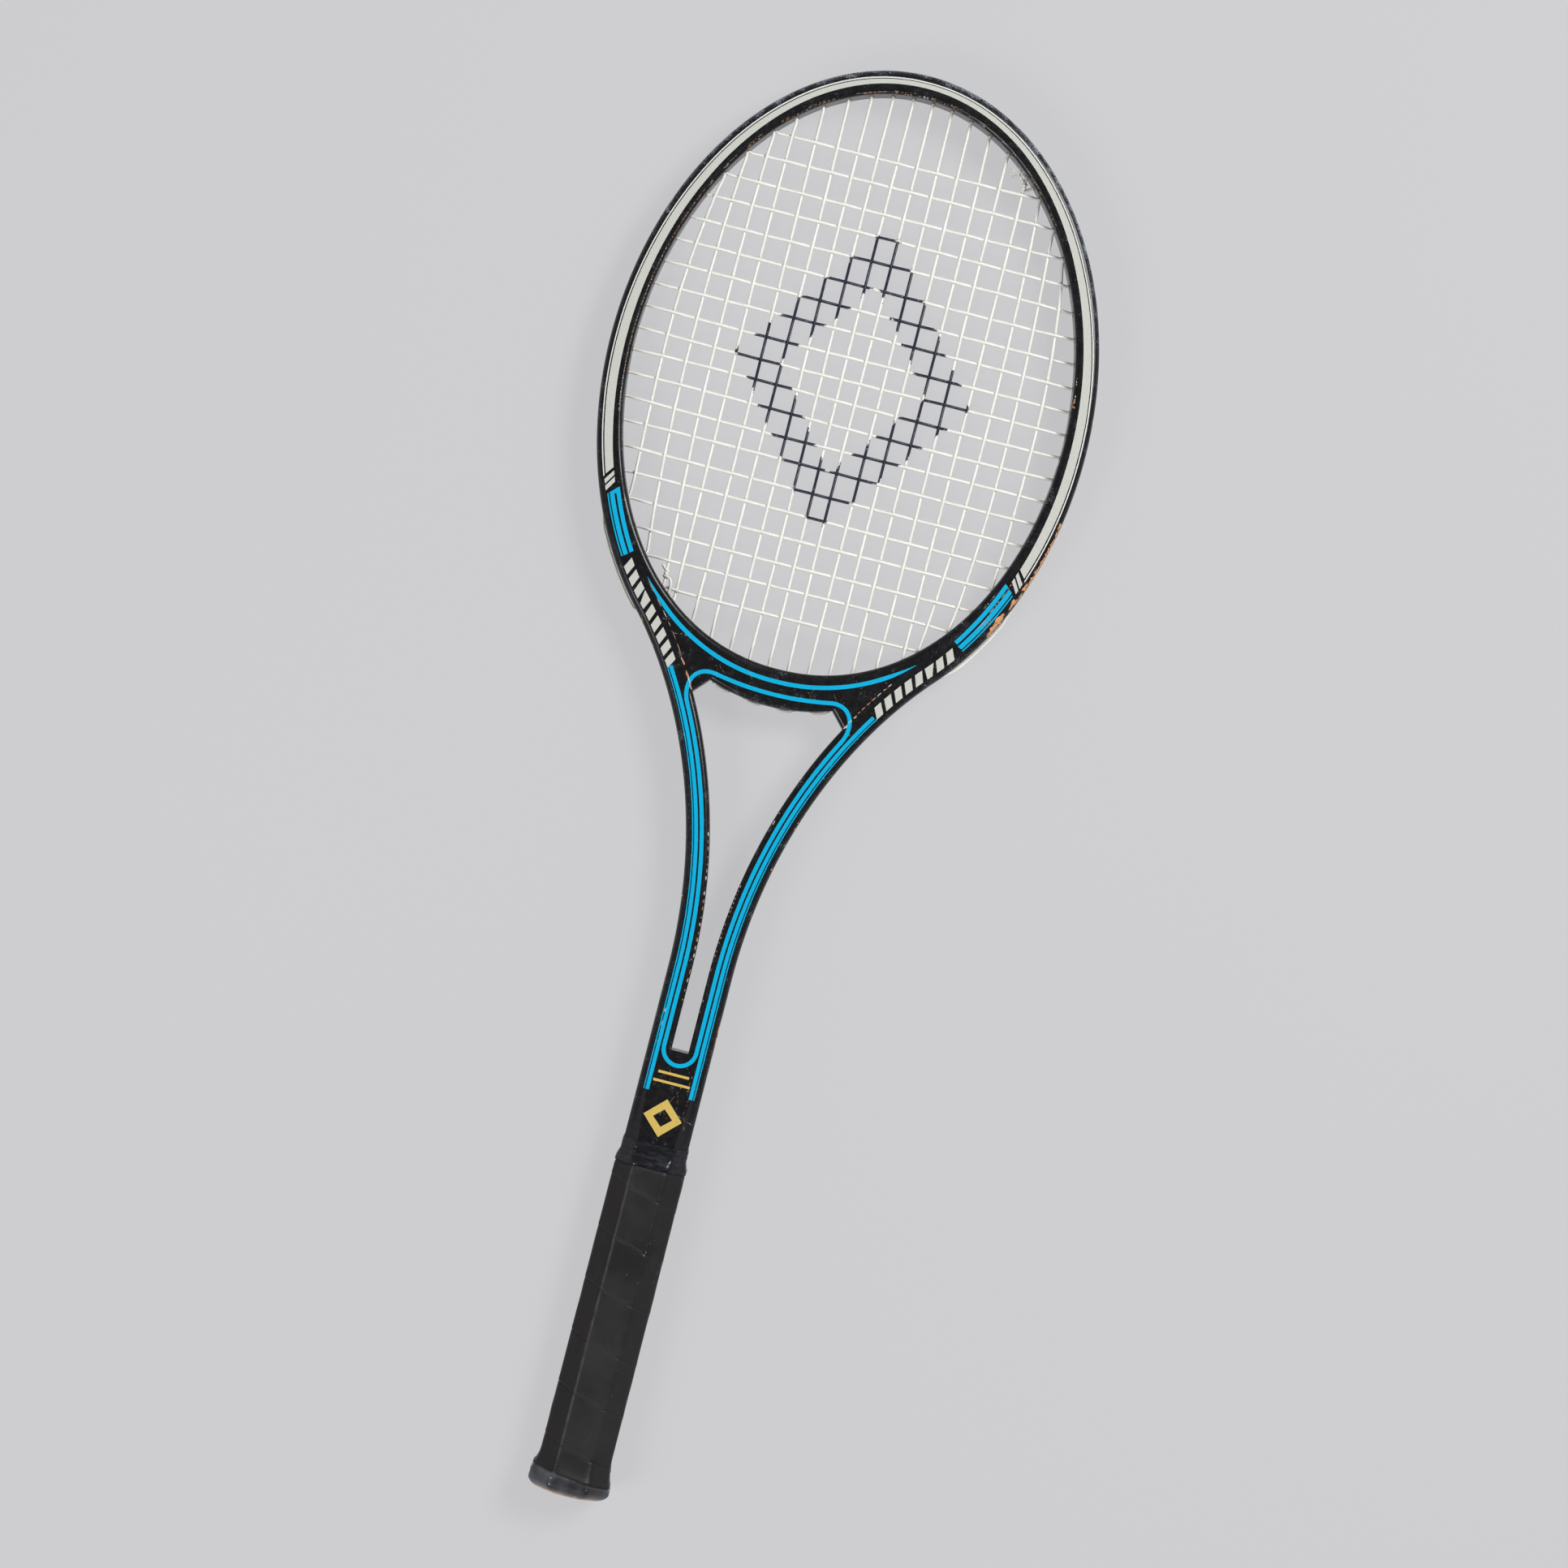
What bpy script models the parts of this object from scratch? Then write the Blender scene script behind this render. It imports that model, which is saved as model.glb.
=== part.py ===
"""A wooden tennis racket: a laminated hairpin bow, a throat bridge, a built-up handle and one woven string.

Racket coordinates, in metres: X across the face, Y from the butt to the tip of the head, Z square to the
strings. The datum empty stands the racket face up with its origin under the middle of its length.
"""

import math
from collections import namedtuple
from functools import lru_cache

import bmesh
import bpy
from mathutils import Vector

# Overall form of the bow, measured on its outer edge
LENGTH = 0.686
HEAD_HALF_LENGTH = 0.1546
HEAD_HALF_WIDTH = 0.1147
HEAD_ARC_END = math.radians(-50.8)
SHOULDER_HANDLE_SHARE = 0.2456
NECK_HANDLE_SHARE = 0.4326
NECK_Y = 0.2526
NECK_HALF_WIDTH = 0.0153

# Section of the bow and its laminations
BOW_WIDTH = 0.0112
HEAD_DEPTH = 0.0180
SHAFT_DEPTH = 0.0195
PLY_NAMES = ("bow_outer_ply", "bow_second_ply", "bow_third_ply", "bow_inner_ply")
GLUE_GAP = 0.0003
OUTER_EDGE_RADIUS = 0.0032
INNER_EDGE_RADIUS = 0.0022
ROUNDING_SHARES = (0.12, 0.45)

# Throat: the bridge closes the head, the slot ends between the shafts
STRING_EDGE_RISE = 0.0051
STRING_EDGE_SETBACK = 0.0178
STRING_EDGE_POWER = 2.1
BRIDGE_THICKNESS = 0.0180
BRIDGE_ARCH_RISE = 0.0052
BRIDGE_CORNER_INSET = 0.0108
BRIDGE_LEG_WIDTH = 0.0055
BRIDGE_LEG_DROP = 0.0072
BRIDGE_PLY = 0.0024
FEATHER_THICKNESS = 0.0006
SLOT_END_Y = 0.2150
BRIDGE_TIP_DROP = 0.0465
JOINT_FADE = 0.0040

# Handle: an octagon built up from the two shafts, a wedge and two cheeks
HANDLE_HALF_DEPTH = 0.01305
HANDLE_CHAMFER = 0.0065
SHOULDER_FULL_Y = 0.1725
CHEEK_TIP_THICKNESS = 0.0006
CORNER_CUT_SHARE = 0.6
LEAST_CORNER_CUT = 0.0002
MOST_CORNER_CUT = 0.0012

# Butt: a cap over the end grain, and a collar that swells round it
CAP_THICKNESS = 0.0030
CAP_FLAT_INSET = 0.0070
CAP_DOME_SHARES = ((0.0, 0.0), (0.3, 0.42), (0.65, 0.76), (1.0, 1.0))
COLLAR_TOP_Y = 0.0140
COLLAR_RIM_GROWTH = 0.00415
COLLAR_RIM_LOW_Y = 0.0050
COLLAR_RIM_HIGH_Y = 0.0065
COLLAR_BASE_GROWTH = 0.0032
COLLAR_NECK_GROWTH = 0.0012

# Leather grip: one strip wound in a helix between the butt and the collar tape
LEATHER_THICKNESS = 0.0014
GRIP_LOW_Y = 0.0145
GRIP_HIGH_Y = 0.1590
GRIP_PITCH = 0.0250
GRIP_SEAM_GAP = 0.0005
GRIP_MIN_WIDTH = 0.0012
TAPE_HEIGHT = 0.0117
TAPE_THICKNESS = 0.0012

# String bed
STRING_DIAMETER = 0.0013
WEAVE_GAP = 0.0006
MAIN_PITCH = 0.0092
MAIN_PITCH_GROWTH = 0.00016
MAIN_EDGE_GAP = 0.0090
CROSS_PITCH = 0.0107
CROSS_PITCH_GROWTH = 0.00009
CROSS_EDGE_GAP = 0.0260
BED_RISE = 0.0025
TOP_LEAN = 0.0115
BOTTOM_LEAN = 0.0020
SHARED_MAINS = 3
BRIDGE_FAN = 0.80
SHAFT_EXIT_LEAN = 0.65
HOLE_WIDTH = 0.0023
LANE = 0.00095
GROOVE_DEPTH = 0.0020
GROOVE_WIDTH = 0.0046
GROOVE_OVERRUN = 0.0057
GROOVE_RUNOUT = 0.0080
LOOP_DEPTH = 0.0008
PROUD_DEPTH = -0.0011
LOOP_STAND_OFF = 0.00095
RIM_STAND_OFF = 0.0004
RIM_EASE = 0.0004
CROSSING_CLEARANCE = 0.0030
KNOT_TURNS = 2.25
KNOT_LEAD = 0.0025
KNOT_RADIUS = 0.00205
KNOT_PITCH = 0.00185
KNOT_POINTS_PER_TURN = 8
KNOT_TAIL = 0.0022
KNOT_LIFT = 0.0021

# Fineness of the meshes
HEAD_STEPS = 26
SHOULDER_STEPS = 9
GROOVE_STEPS = 31
BRIDGE_STEPS = 28
CUT_MARGIN = 0.0040
DRILL_START = 0.0012

HEAD_CENTRE_Y = LENGTH - HEAD_HALF_LENGTH
STRING_EDGE_CENTRE_Y = HEAD_CENTRE_Y + STRING_EDGE_RISE
STRING_EDGE_HALF_LENGTH = HEAD_HALF_LENGTH - STRING_EDGE_SETBACK
STRING_EDGE_HALF_WIDTH = HEAD_HALF_WIDTH - BOW_WIDTH
BRIDGE_MIDDLE_Y = STRING_EDGE_CENTRE_Y - STRING_EDGE_HALF_LENGTH - BRIDGE_THICKNESS
BRIDGE_CORNER_Y = BRIDGE_MIDDLE_Y + BRIDGE_ARCH_RISE
BRIDGE_TIP_Y = STRING_EDGE_CENTRE_Y - BRIDGE_TIP_DROP
GROOVE_END_Y = BRIDGE_MIDDLE_Y - GROOVE_OVERRUN
BED_CENTRE_Y = HEAD_CENTRE_Y + BED_RISE
WEAVE_HEIGHT = (STRING_DIAMETER + WEAVE_GAP) / 2
HEEL_Y = CAP_THICKNESS + GLUE_GAP
BUTT_HALF_DEPTH = HANDLE_HALF_DEPTH + COLLAR_RIM_GROWTH

Station = namedtuple("Station", "point normal")
Hole = namedtuple("Hole", "entry exit place")


# Scene helpers

def clear_scene():
    for obj in list(bpy.data.objects):
        bpy.data.objects.remove(obj, do_unlink=True)


def make_datum():
    datum = bpy.data.objects.new("racket_datum", None)
    datum.empty_display_size = 0.05
    datum.location = (0.0, -LENGTH / 2, BUTT_HALF_DEPTH)
    bpy.context.collection.objects.link(datum)
    return datum


def make_material(name, colour, roughness, metallic=0.0):
    material = bpy.data.materials.new(name)
    material.use_nodes = True
    shader = material.node_tree.nodes["Principled BSDF"]
    shader.inputs["Base Color"].default_value = (*colour, 1.0)
    shader.inputs["Roughness"].default_value = roughness
    shader.inputs["Metallic"].default_value = metallic
    return material


def add_object(name, data, datum, material=None):
    obj = bpy.data.objects.new(name, data)
    obj.parent = datum
    if material is not None:
        data.materials.append(material)
    bpy.context.collection.objects.link(obj)
    return obj


def make_helper(obj):
    obj.hide_render = True
    obj.display_type = "WIRE"
    return obj


def cut_with(obj, cutter):
    modifier = obj.modifiers.new("cut_" + cutter.name, "BOOLEAN")
    modifier.operation = "DIFFERENCE"
    modifier.solver = "EXACT"
    modifier.object = cutter


def loft(bm, rings, closed_path=False):
    """Joins rings of equal point counts with faces, and caps the two ends of an open path."""
    loops = [[bm.verts.new(point) for point in ring] for ring in rings]
    pairs = list(zip(loops, loops[1:]))
    if closed_path:
        pairs.append((loops[-1], loops[0]))
    for first, second in pairs:
        count = len(first)
        for i in range(count):
            j = (i + 1) % count
            bm.faces.new((first[i], first[j], second[j], second[i]))
    if not closed_path:
        bm.faces.new(loops[0])
        bm.faces.new(loops[-1])


def mesh_from(name, build, smooth_angle=None):
    """A mesh filled by the build function, with its faces turned outwards."""
    bm = bmesh.new()
    build(bm)
    bmesh.ops.recalc_face_normals(bm, faces=bm.faces)
    mesh = bpy.data.meshes.new(name)
    bm.to_mesh(mesh)
    bm.free()
    if smooth_angle is not None:
        mesh.shade_smooth()
        mesh.set_sharp_from_angle(angle=math.radians(smooth_angle))
    return mesh


def clamp(value, low, high):
    return max(low, min(high, value))


def ramp(value, start, end):
    """Goes from 0 at start to 1 at end."""
    return clamp((value - start) / (end - start), 0.0, 1.0)


def bisect(value_at, wanted, low, high):
    """The place between low and high where a steadily changing value equals the wanted one."""
    rising = value_at(high) > value_at(low)
    for _ in range(48):
        middle = (low + high) / 2
        if (value_at(middle) < wanted) == rising:
            low = middle
        else:
            high = middle
    return (low + high) / 2


# Outline of the bow

def head_station(angle):
    point = Vector((HEAD_HALF_WIDTH * math.cos(angle), HEAD_CENTRE_Y + HEAD_HALF_LENGTH * math.sin(angle)))
    normal = Vector((math.cos(angle) / HEAD_HALF_WIDTH, math.sin(angle) / HEAD_HALF_LENGTH))
    return Station(point, normal.normalized())


def shoulder_controls():
    """Four points of the curve that leads each side of the head into its shaft."""
    start = head_station(HEAD_ARC_END)
    along = Vector((start.normal.y, -start.normal.x))
    end = Vector((NECK_HALF_WIDTH, NECK_Y))
    span = (end - start.point).length
    second = start.point + along * span * SHOULDER_HANDLE_SHARE
    third = end + Vector((0.0, span * NECK_HANDLE_SHARE))
    return start.point, second, third, end


def shoulder_station(share):
    a, b, c, d = shoulder_controls()
    rest = 1.0 - share
    point = a * rest**3 + b * 3 * rest * rest * share + c * 3 * rest * share * share + d * share**3
    slope = (b - a) * rest * rest + (c - b) * 2 * rest * share + (d - c) * share * share
    return Station(point, Vector((-slope.y, slope.x)).normalized())


def outline(place):
    """Station on the right half: 0 to 1 round the head, 1 to 2 down the shoulder, 2 to 3 down the handle."""
    if place <= 1.0:
        return head_station(math.pi / 2 + (HEAD_ARC_END - math.pi / 2) * place)
    if place <= 2.0:
        return shoulder_station(place - 1.0)
    return Station(Vector((NECK_HALF_WIDTH, NECK_Y * (3.0 - place))), Vector((1.0, 0.0)))


def inside(place, depth):
    station = outline(place)
    return station.point - station.normal * depth


def place_of_handle(y):
    return 3.0 - y / NECK_Y


def bow_places():
    head = [i / HEAD_STEPS for i in range(HEAD_STEPS + 1)]
    shoulder = [1.0 + i / SHOULDER_STEPS for i in range(1, SHOULDER_STEPS + 1)]
    handle = [place_of_handle(y) for y in (SLOT_END_Y, SHOULDER_FULL_Y, HEEL_Y)]
    return head + shoulder + handle


def flip(flat, side):
    return Vector((flat.x * side, flat.y))


def mirrored(station):
    return Station(flip(station.point, -1.0), flip(station.normal, -1.0))


def bow_stations(places):
    """Stations from the left end of the places, over the tip, to their right end."""
    right = [outline(place) for place in places]
    return [mirrored(station) for station in reversed(right[1:])] + right


# Section of the frame

def shaft_share(y):
    return ramp(y, LENGTH, NECK_Y)


def half_depth(y):
    return (HEAD_DEPTH + (SHAFT_DEPTH - HEAD_DEPTH) * shaft_share(y)) / 2


def rounding_drop(distance, radius):
    """How far a rounded edge has fallen away at this distance from its side."""
    short = radius - clamp(distance, 0.0, radius)
    return radius - math.sqrt(radius * radius - short * short)


def bare_inner_edge(y):
    """1 where the inner edge of the bow stands free, 0 where the bridge or the wedge is glued to it."""
    leg_end = BRIDGE_CORNER_Y - BRIDGE_LEG_DROP
    in_throat = ramp(y, leg_end, leg_end - JOINT_FADE) * ramp(y, SLOT_END_Y, SLOT_END_Y + JOINT_FADE)
    return in_throat + ramp(y, BRIDGE_TIP_Y - JOINT_FADE, BRIDGE_TIP_Y)


def face_height(depth, y):
    """Half thickness of the frame at a depth behind its outer edge."""
    height = half_depth(y)
    rounded = height - rounding_drop(depth, OUTER_EDGE_RADIUS)
    rounded -= rounding_drop(BOW_WIDTH - depth, INNER_EDGE_RADIUS) * bare_inner_edge(y)
    chamfered = min(height, HANDLE_HALF_DEPTH - max(0.0, HANDLE_CHAMFER - depth))
    share = ramp(y, SLOT_END_Y, SHOULDER_FULL_Y)
    return rounded + (chamfered - rounded) * share


def profile(start, end, y):
    """Closed section of a lamination that lies between two depths."""
    breaks = [OUTER_EDGE_RADIUS * share for share in ROUNDING_SHARES]
    breaks += [BOW_WIDTH - INNER_EDGE_RADIUS * share for share in reversed(ROUNDING_SHARES)]
    depths = [start] + [depth for depth in breaks if start < depth < end] + [end]
    front = [(depth, face_height(depth, y)) for depth in depths]
    return front + [(depth, -height) for depth, height in reversed(front)]


def ring_at(station, section):
    ring = []
    for depth, height in section:
        flat = station.point - station.normal * depth
        ring.append(Vector((flat.x, flat.y, height)))
    return ring


def ply_span(index):
    thickness = (BOW_WIDTH - GLUE_GAP * (len(PLY_NAMES) - 1)) / len(PLY_NAMES)
    start = index * (thickness + GLUE_GAP)
    return start, start + thickness


def build_ply(bm, index):
    start, end = ply_span(index)
    rings = []
    for station in bow_stations(bow_places()):
        rings.append(ring_at(station, profile(start, end, station.point.y)))
    loft(bm, rings)


def plain_band(start, end, height):
    return [(start, height), (end, height), (end, -height), (start, -height)]


def build_bow_clearance(bm):
    """The space of the whole bow and its glue line, cut from what stands inside it."""
    section = plain_band(-CUT_MARGIN, BOW_WIDTH + GLUE_GAP, SHAFT_DEPTH)
    loft(bm, [ring_at(station, section) for station in bow_stations(bow_places())])


def build_groove(bm):
    """Channel round the outside of the head that takes the loops of the string."""
    last = bisect(lambda place: outline(place).point.y, GROOVE_END_Y, 1.0, 2.0)
    places = [last * (i / GROOVE_STEPS) for i in range(GROOVE_STEPS + 1)]
    rings = []
    for station in bow_stations(places):
        share = ramp(station.point.y, GROOVE_END_Y, GROOVE_END_Y + GROOVE_RUNOUT)
        floor = -GLUE_GAP + (GROOVE_DEPTH + GLUE_GAP) * share
        rings.append(ring_at(station, plain_band(-CUT_MARGIN, floor, GROOVE_WIDTH / 2)))
    loft(bm, rings)


# Throat bridge

def string_edge_half_width(y):
    """Half width of the string opening below its middle, a slightly squared oval."""
    share = clamp((STRING_EDGE_CENTRE_Y - y) / STRING_EDGE_HALF_LENGTH, 0.0, 1.0)
    return STRING_EDGE_HALF_WIDTH * (1.0 - share**STRING_EDGE_POWER) ** (1.0 / STRING_EDGE_POWER)


def string_edge_y(x):
    share = clamp(abs(x) / STRING_EDGE_HALF_WIDTH, 0.0, 1.0)
    rise = (1.0 - share**STRING_EDGE_POWER) ** (1.0 / STRING_EDGE_POWER)
    return STRING_EDGE_CENTRE_Y - STRING_EDGE_HALF_LENGTH * rise


def string_edge_station(angle):
    """Station on the string side of the bridge, by its angle from straight down."""
    side = 1.0 if angle >= 0 else -1.0
    power = 2.0 / STRING_EDGE_POWER
    x = side * STRING_EDGE_HALF_WIDTH * abs(math.sin(angle)) ** power
    y = STRING_EDGE_CENTRE_Y - STRING_EDGE_HALF_LENGTH * math.cos(angle) ** power
    steep = STRING_EDGE_POWER - 1.0
    across = side * (abs(x) / STRING_EDGE_HALF_WIDTH) ** steep / STRING_EDGE_HALF_WIDTH
    down = ((STRING_EDGE_CENTRE_Y - y) / STRING_EDGE_HALF_LENGTH) ** steep / STRING_EDGE_HALF_LENGTH
    return Station(Vector((x, y)), Vector((across, -down)).normalized())


@lru_cache
def bridge_corner_x():
    """Half width of the arch under the bridge, up to where its legs slope down to the bow."""
    place = bisect(lambda place: inside(place, BOW_WIDTH).y, BRIDGE_CORNER_Y, 1.0, 2.0)
    return inside(place, BOW_WIDTH).x - BRIDGE_CORNER_INSET


def arch_y(x):
    return BRIDGE_MIDDLE_Y + BRIDGE_ARCH_RISE * (x / bridge_corner_x()) ** 2


def flat_ring(station, section):
    """Like ring_at, but the depths run outwards from the string side."""
    ring = []
    for depth, height in section:
        flat = station.point + station.normal * depth
        ring.append(Vector((flat.x, flat.y, height)))
    return ring


def bridge_room(point):
    """Space between a point on the string side and the inner line of the bow."""
    far = min((outline(i / 400).point - Vector((abs(point.x), point.y))).length for i in range(200, 760))
    return far - BOW_WIDTH


def angle_with_room(room):
    return bisect(lambda angle: bridge_room(string_edge_station(angle).point), room, 0.9, 1.5)


def bridge_angles(half, count):
    """Evenly spread angles from one tip of the bridge to the other."""
    return [half * (2.0 * i / count - 1.0) for i in range(count + 1)]


def build_bridge_string_ply(bm):
    rings = []
    for angle in bridge_angles(angle_with_room(GLUE_GAP + FEATHER_THICKNESS), BRIDGE_STEPS):
        station = string_edge_station(angle)
        height = half_depth(station.point.y)
        end = min(BRIDGE_PLY, bridge_room(station.point) - GLUE_GAP)
        first = min(INNER_EDGE_RADIUS * ROUNDING_SHARES[0], end * 0.3)
        second = min(INNER_EDGE_RADIUS * ROUNDING_SHARES[1], end * 0.6)
        front = []
        for depth in (0.0, first, second, end):
            front.append((depth, height - rounding_drop(depth, INNER_EDGE_RADIUS)))
        rings.append(flat_ring(station, front + [(depth, -z) for depth, z in reversed(front)]))
    loft(bm, rings)


def extrude_outline(bm, points):
    """A plate of the frame's own thickness from an outline in the plane of the face."""
    front = [bm.verts.new((x, y, half_depth(y))) for x, y in points]
    back = [bm.verts.new((x, y, -half_depth(y))) for x, y in points]
    count = len(points)
    bm.faces.new(front)
    bm.faces.new(list(reversed(back)))
    for i in range(count):
        j = (i + 1) % count
        bm.faces.new((front[j], front[i], back[i], back[j]))


def build_bridge_core(bm):
    behind_ply = BRIDGE_PLY + GLUE_GAP
    tip_angle = angle_with_room(behind_ply + GLUE_GAP + FEATHER_THICKNESS)
    upper = []
    for angle in bridge_angles(tip_angle, BRIDGE_STEPS):
        station = string_edge_station(angle)
        upper.append(station.point + station.normal * behind_ply)
    tip = string_edge_station(tip_angle)
    right_tip = tip.point + tip.normal * (behind_ply + CUT_MARGIN)
    corner = Vector((bridge_corner_x(), BRIDGE_CORNER_Y))
    slope = Vector((BRIDGE_LEG_WIDTH, -BRIDGE_LEG_DROP))
    leg = corner + slope * (1.0 + CUT_MARGIN / BRIDGE_LEG_WIDTH)
    right = [right_tip, leg, corner]
    notch = []
    for i in range(13):
        x = corner.x * (1.0 - i / 6)
        notch.append(Vector((x, arch_y(x) + behind_ply)))
    left = [Vector((-point.x, point.y)) for point in reversed(right)]
    extrude_outline(bm, upper + right + notch + left)


def build_bridge_throat_ply(bm):
    half = bridge_corner_x() - GLUE_GAP
    xs = [half * (1.0 - i / 6) for i in range(13)]
    rings = []
    for x in xs:
        y = arch_y(x)
        height = half_depth(y)
        front = []
        for depth in (0.0, INNER_EDGE_RADIUS * ROUNDING_SHARES[1], BRIDGE_PLY):
            front.append((y + depth, height - rounding_drop(depth, INNER_EDGE_RADIUS)))
        section = front + [(level, -z) for level, z in reversed(front)]
        rings.append([Vector((x, level, z)) for level, z in section])
    loft(bm, rings)


# Handle

def build_heel_wedge(bm):
    half = NECK_HALF_WIDTH - BOW_WIDTH - GLUE_GAP
    rings = []
    for y in (HEEL_Y, SHOULDER_FULL_Y, SLOT_END_Y):
        height = half_depth(y)
        corners = ((half, height), (-half, height), (-half, -height), (half, -height))
        rings.append([Vector((x, y, z)) for x, z in corners])
    loft(bm, rings)


def build_cheek(bm, side):
    """A handle cheek: full height along the grip, then a slope down to the faces of the shafts."""
    seat = SHAFT_DEPTH / 2 + GLUE_GAP
    tip_share = CHEEK_TIP_THICKNESS / (HANDLE_HALF_DEPTH - seat)
    tip_y = SLOT_END_Y - (SLOT_END_Y - SHOULDER_FULL_Y) * tip_share
    chamfer_sum = NECK_HALF_WIDTH + HANDLE_HALF_DEPTH - HANDLE_CHAMFER
    rings = []
    tip = (tip_y, seat + CHEEK_TIP_THICKNESS)
    for y, top in ((HEEL_Y, HANDLE_HALF_DEPTH), (SHOULDER_FULL_Y, HANDLE_HALF_DEPTH), tip):
        wide = chamfer_sum - seat
        narrow = chamfer_sum - top
        corners = ((wide, seat), (narrow, top), (-narrow, top), (-wide, seat))
        rings.append([Vector((x, y, side * z)) for x, z in corners])
    loft(bm, rings)


def octagon(grow):
    """Corners of the handle's octagon grown outwards all round, each corner cut once more to round it."""
    slant = grow * (2.0 - math.sqrt(2.0))
    chamfer = HANDLE_CHAMFER + slant
    half_width = NECK_HALF_WIDTH + grow
    half_height = HANDLE_HALF_DEPTH + grow
    quarter = ((half_width, half_height - chamfer), (half_width - chamfer, half_height))
    corners = [Vector(corner) for corner in quarter]
    corners += [Vector((-x, z)) for x, z in reversed(quarter)]
    corners += [Vector((-x, -z)) for x, z in quarter]
    corners += [Vector((x, -z)) for x, z in reversed(quarter)]
    cut = clamp(grow * CORNER_CUT_SHARE, LEAST_CORNER_CUT, MOST_CORNER_CUT)
    points = []
    for i, corner in enumerate(corners):
        for other in (corners[i - 1], corners[(i + 1) % len(corners)]):
            points.append(corner + (other - corner).normalized() * cut)
    return points


def handle_ring(y, grow):
    return [Vector((point.x, y, point.y)) for point in octagon(grow)]


def sleeve(bm, outer, low, high):
    """A sleeve on the bare handle: up its shaped outside, then back down its straight bore."""
    levels = list(outer) + [(high, GLUE_GAP), (low, GLUE_GAP)]
    loft(bm, [handle_ring(y, grow) for y, grow in levels], closed_path=True)


def build_butt_collar(bm):
    outer = [
        (HEEL_Y, COLLAR_BASE_GROWTH),
        (COLLAR_RIM_LOW_Y, COLLAR_RIM_GROWTH),
    ]
    for i in range(5):
        share = i / 4
        swell = (1.0 + math.cos(math.pi * share)) / 2
        y = COLLAR_RIM_HIGH_Y + (COLLAR_TOP_Y - COLLAR_RIM_HIGH_Y) * share
        outer.append((y, COLLAR_NECK_GROWTH + (COLLAR_RIM_GROWTH - COLLAR_NECK_GROWTH) * swell))
    sleeve(bm, outer, HEEL_Y, COLLAR_TOP_Y)


def build_butt_cap(bm):
    """A low dome with a flat middle."""
    rings = []
    for height, spread_share in CAP_DOME_SHARES:
        grow = -CAP_FLAT_INSET + (COLLAR_BASE_GROWTH + CAP_FLAT_INSET) * spread_share
        rings.append(handle_ring(CAP_THICKNESS * height, grow))
    loft(bm, rings)


def build_collar_tape(bm):
    low = GRIP_HIGH_Y + GLUE_GAP
    high = low + TAPE_HEIGHT
    outer = [
        (low, GLUE_GAP + TAPE_THICKNESS),
        (high - TAPE_THICKNESS, GLUE_GAP + TAPE_THICKNESS),
        (high, GLUE_GAP + TAPE_THICKNESS / 2),
    ]
    sleeve(bm, outer, low, high)


def perimeter_shares(points):
    """Running length round the ring at each of its points, as a share of the whole."""
    lengths = [(points[i] - points[i - 1]).length for i in range(1, len(points))]
    whole = sum(lengths) + (points[0] - points[-1]).length
    shares = [0.0]
    for length in lengths:
        shares.append(shares[-1] + length / whole)
    return shares


def grip_stations():
    """Lower and upper edge of the leather strip at each corner of the handle, turn by turn."""
    points = octagon(GLUE_GAP)
    shares = perimeter_shares(points)
    width = GRIP_PITCH - GRIP_SEAM_GAP
    turns = math.ceil((GRIP_HIGH_Y - GRIP_LOW_Y) / GRIP_PITCH) + 1
    stations = []
    for turn in range(turns):
        for i, share in enumerate(shares):
            low = GRIP_LOW_Y - GRIP_PITCH + (turn + share) * GRIP_PITCH
            bottom = max(low, GRIP_LOW_Y)
            top = min(low + width, GRIP_HIGH_Y)
            if top - bottom > GRIP_MIN_WIDTH:
                stations.append((i, bottom, top))
    return stations


def build_grip(bm):
    inner = octagon(GLUE_GAP)
    outer = octagon(GLUE_GAP + LEATHER_THICKNESS)
    rings = []
    for i, bottom, top in grip_stations():
        corners = ((inner[i], bottom), (outer[i], bottom), (outer[i], top), (inner[i], top))
        rings.append([Vector((point.x, y, point.y)) for point, y in corners])
    loft(bm, rings)


# String bed

def spread(pitch, growth, limit):
    """Places on one side of the middle, half a pitch out and then ever a little further apart."""
    places = []
    step = 0.5
    while pitch * step + growth * step * step < limit:
        places.append(pitch * step + growth * step * step)
        step += 1.0
    return places


def main_places():
    return spread(MAIN_PITCH, MAIN_PITCH_GROWTH, STRING_EDGE_HALF_WIDTH - MAIN_EDGE_GAP)


def cross_places():
    """Heights of the cross strings, from the tip of the head down."""
    half = LENGTH - BOW_WIDTH - BED_CENTRE_Y - CROSS_EDGE_GAP
    offsets = spread(CROSS_PITCH, CROSS_PITCH_GROWTH, half)
    upper = [BED_CENTRE_Y + offset for offset in reversed(offsets)]
    return upper + [BED_CENTRE_Y - offset for offset in offsets]


def edge_depth(place):
    """Depth behind the outer edge at which the string opening begins, through bow and bridge."""
    station = outline(place)
    if station.point.y > STRING_EDGE_CENTRE_Y:
        return BOW_WIDTH
    start = station.point - station.normal * BOW_WIDTH
    if start.x <= string_edge_half_width(start.y):
        return BOW_WIDTH

    def outside_by(depth):
        point = station.point - station.normal * depth
        return point.x - string_edge_half_width(point.y)

    return bisect(outside_by, 0.0, BOW_WIDTH, BOW_WIDTH * 4)


def hole_at(place):
    """Hole square to the bow, from the string side to the outside."""
    return Hole(inside(place, edge_depth(place)), outline(place).point, place)


def cross_hole(y):
    return hole_at(bisect(lambda place: inside(place, edge_depth(place)).y, y, 0.0, 1.6))


def top_main_hole(x):
    widest = math.pi / 2 / (math.pi / 2 - HEAD_ARC_END)
    return hole_at(bisect(lambda place: inside(place, BOW_WIDTH).x, x, 0.0, widest))


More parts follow.
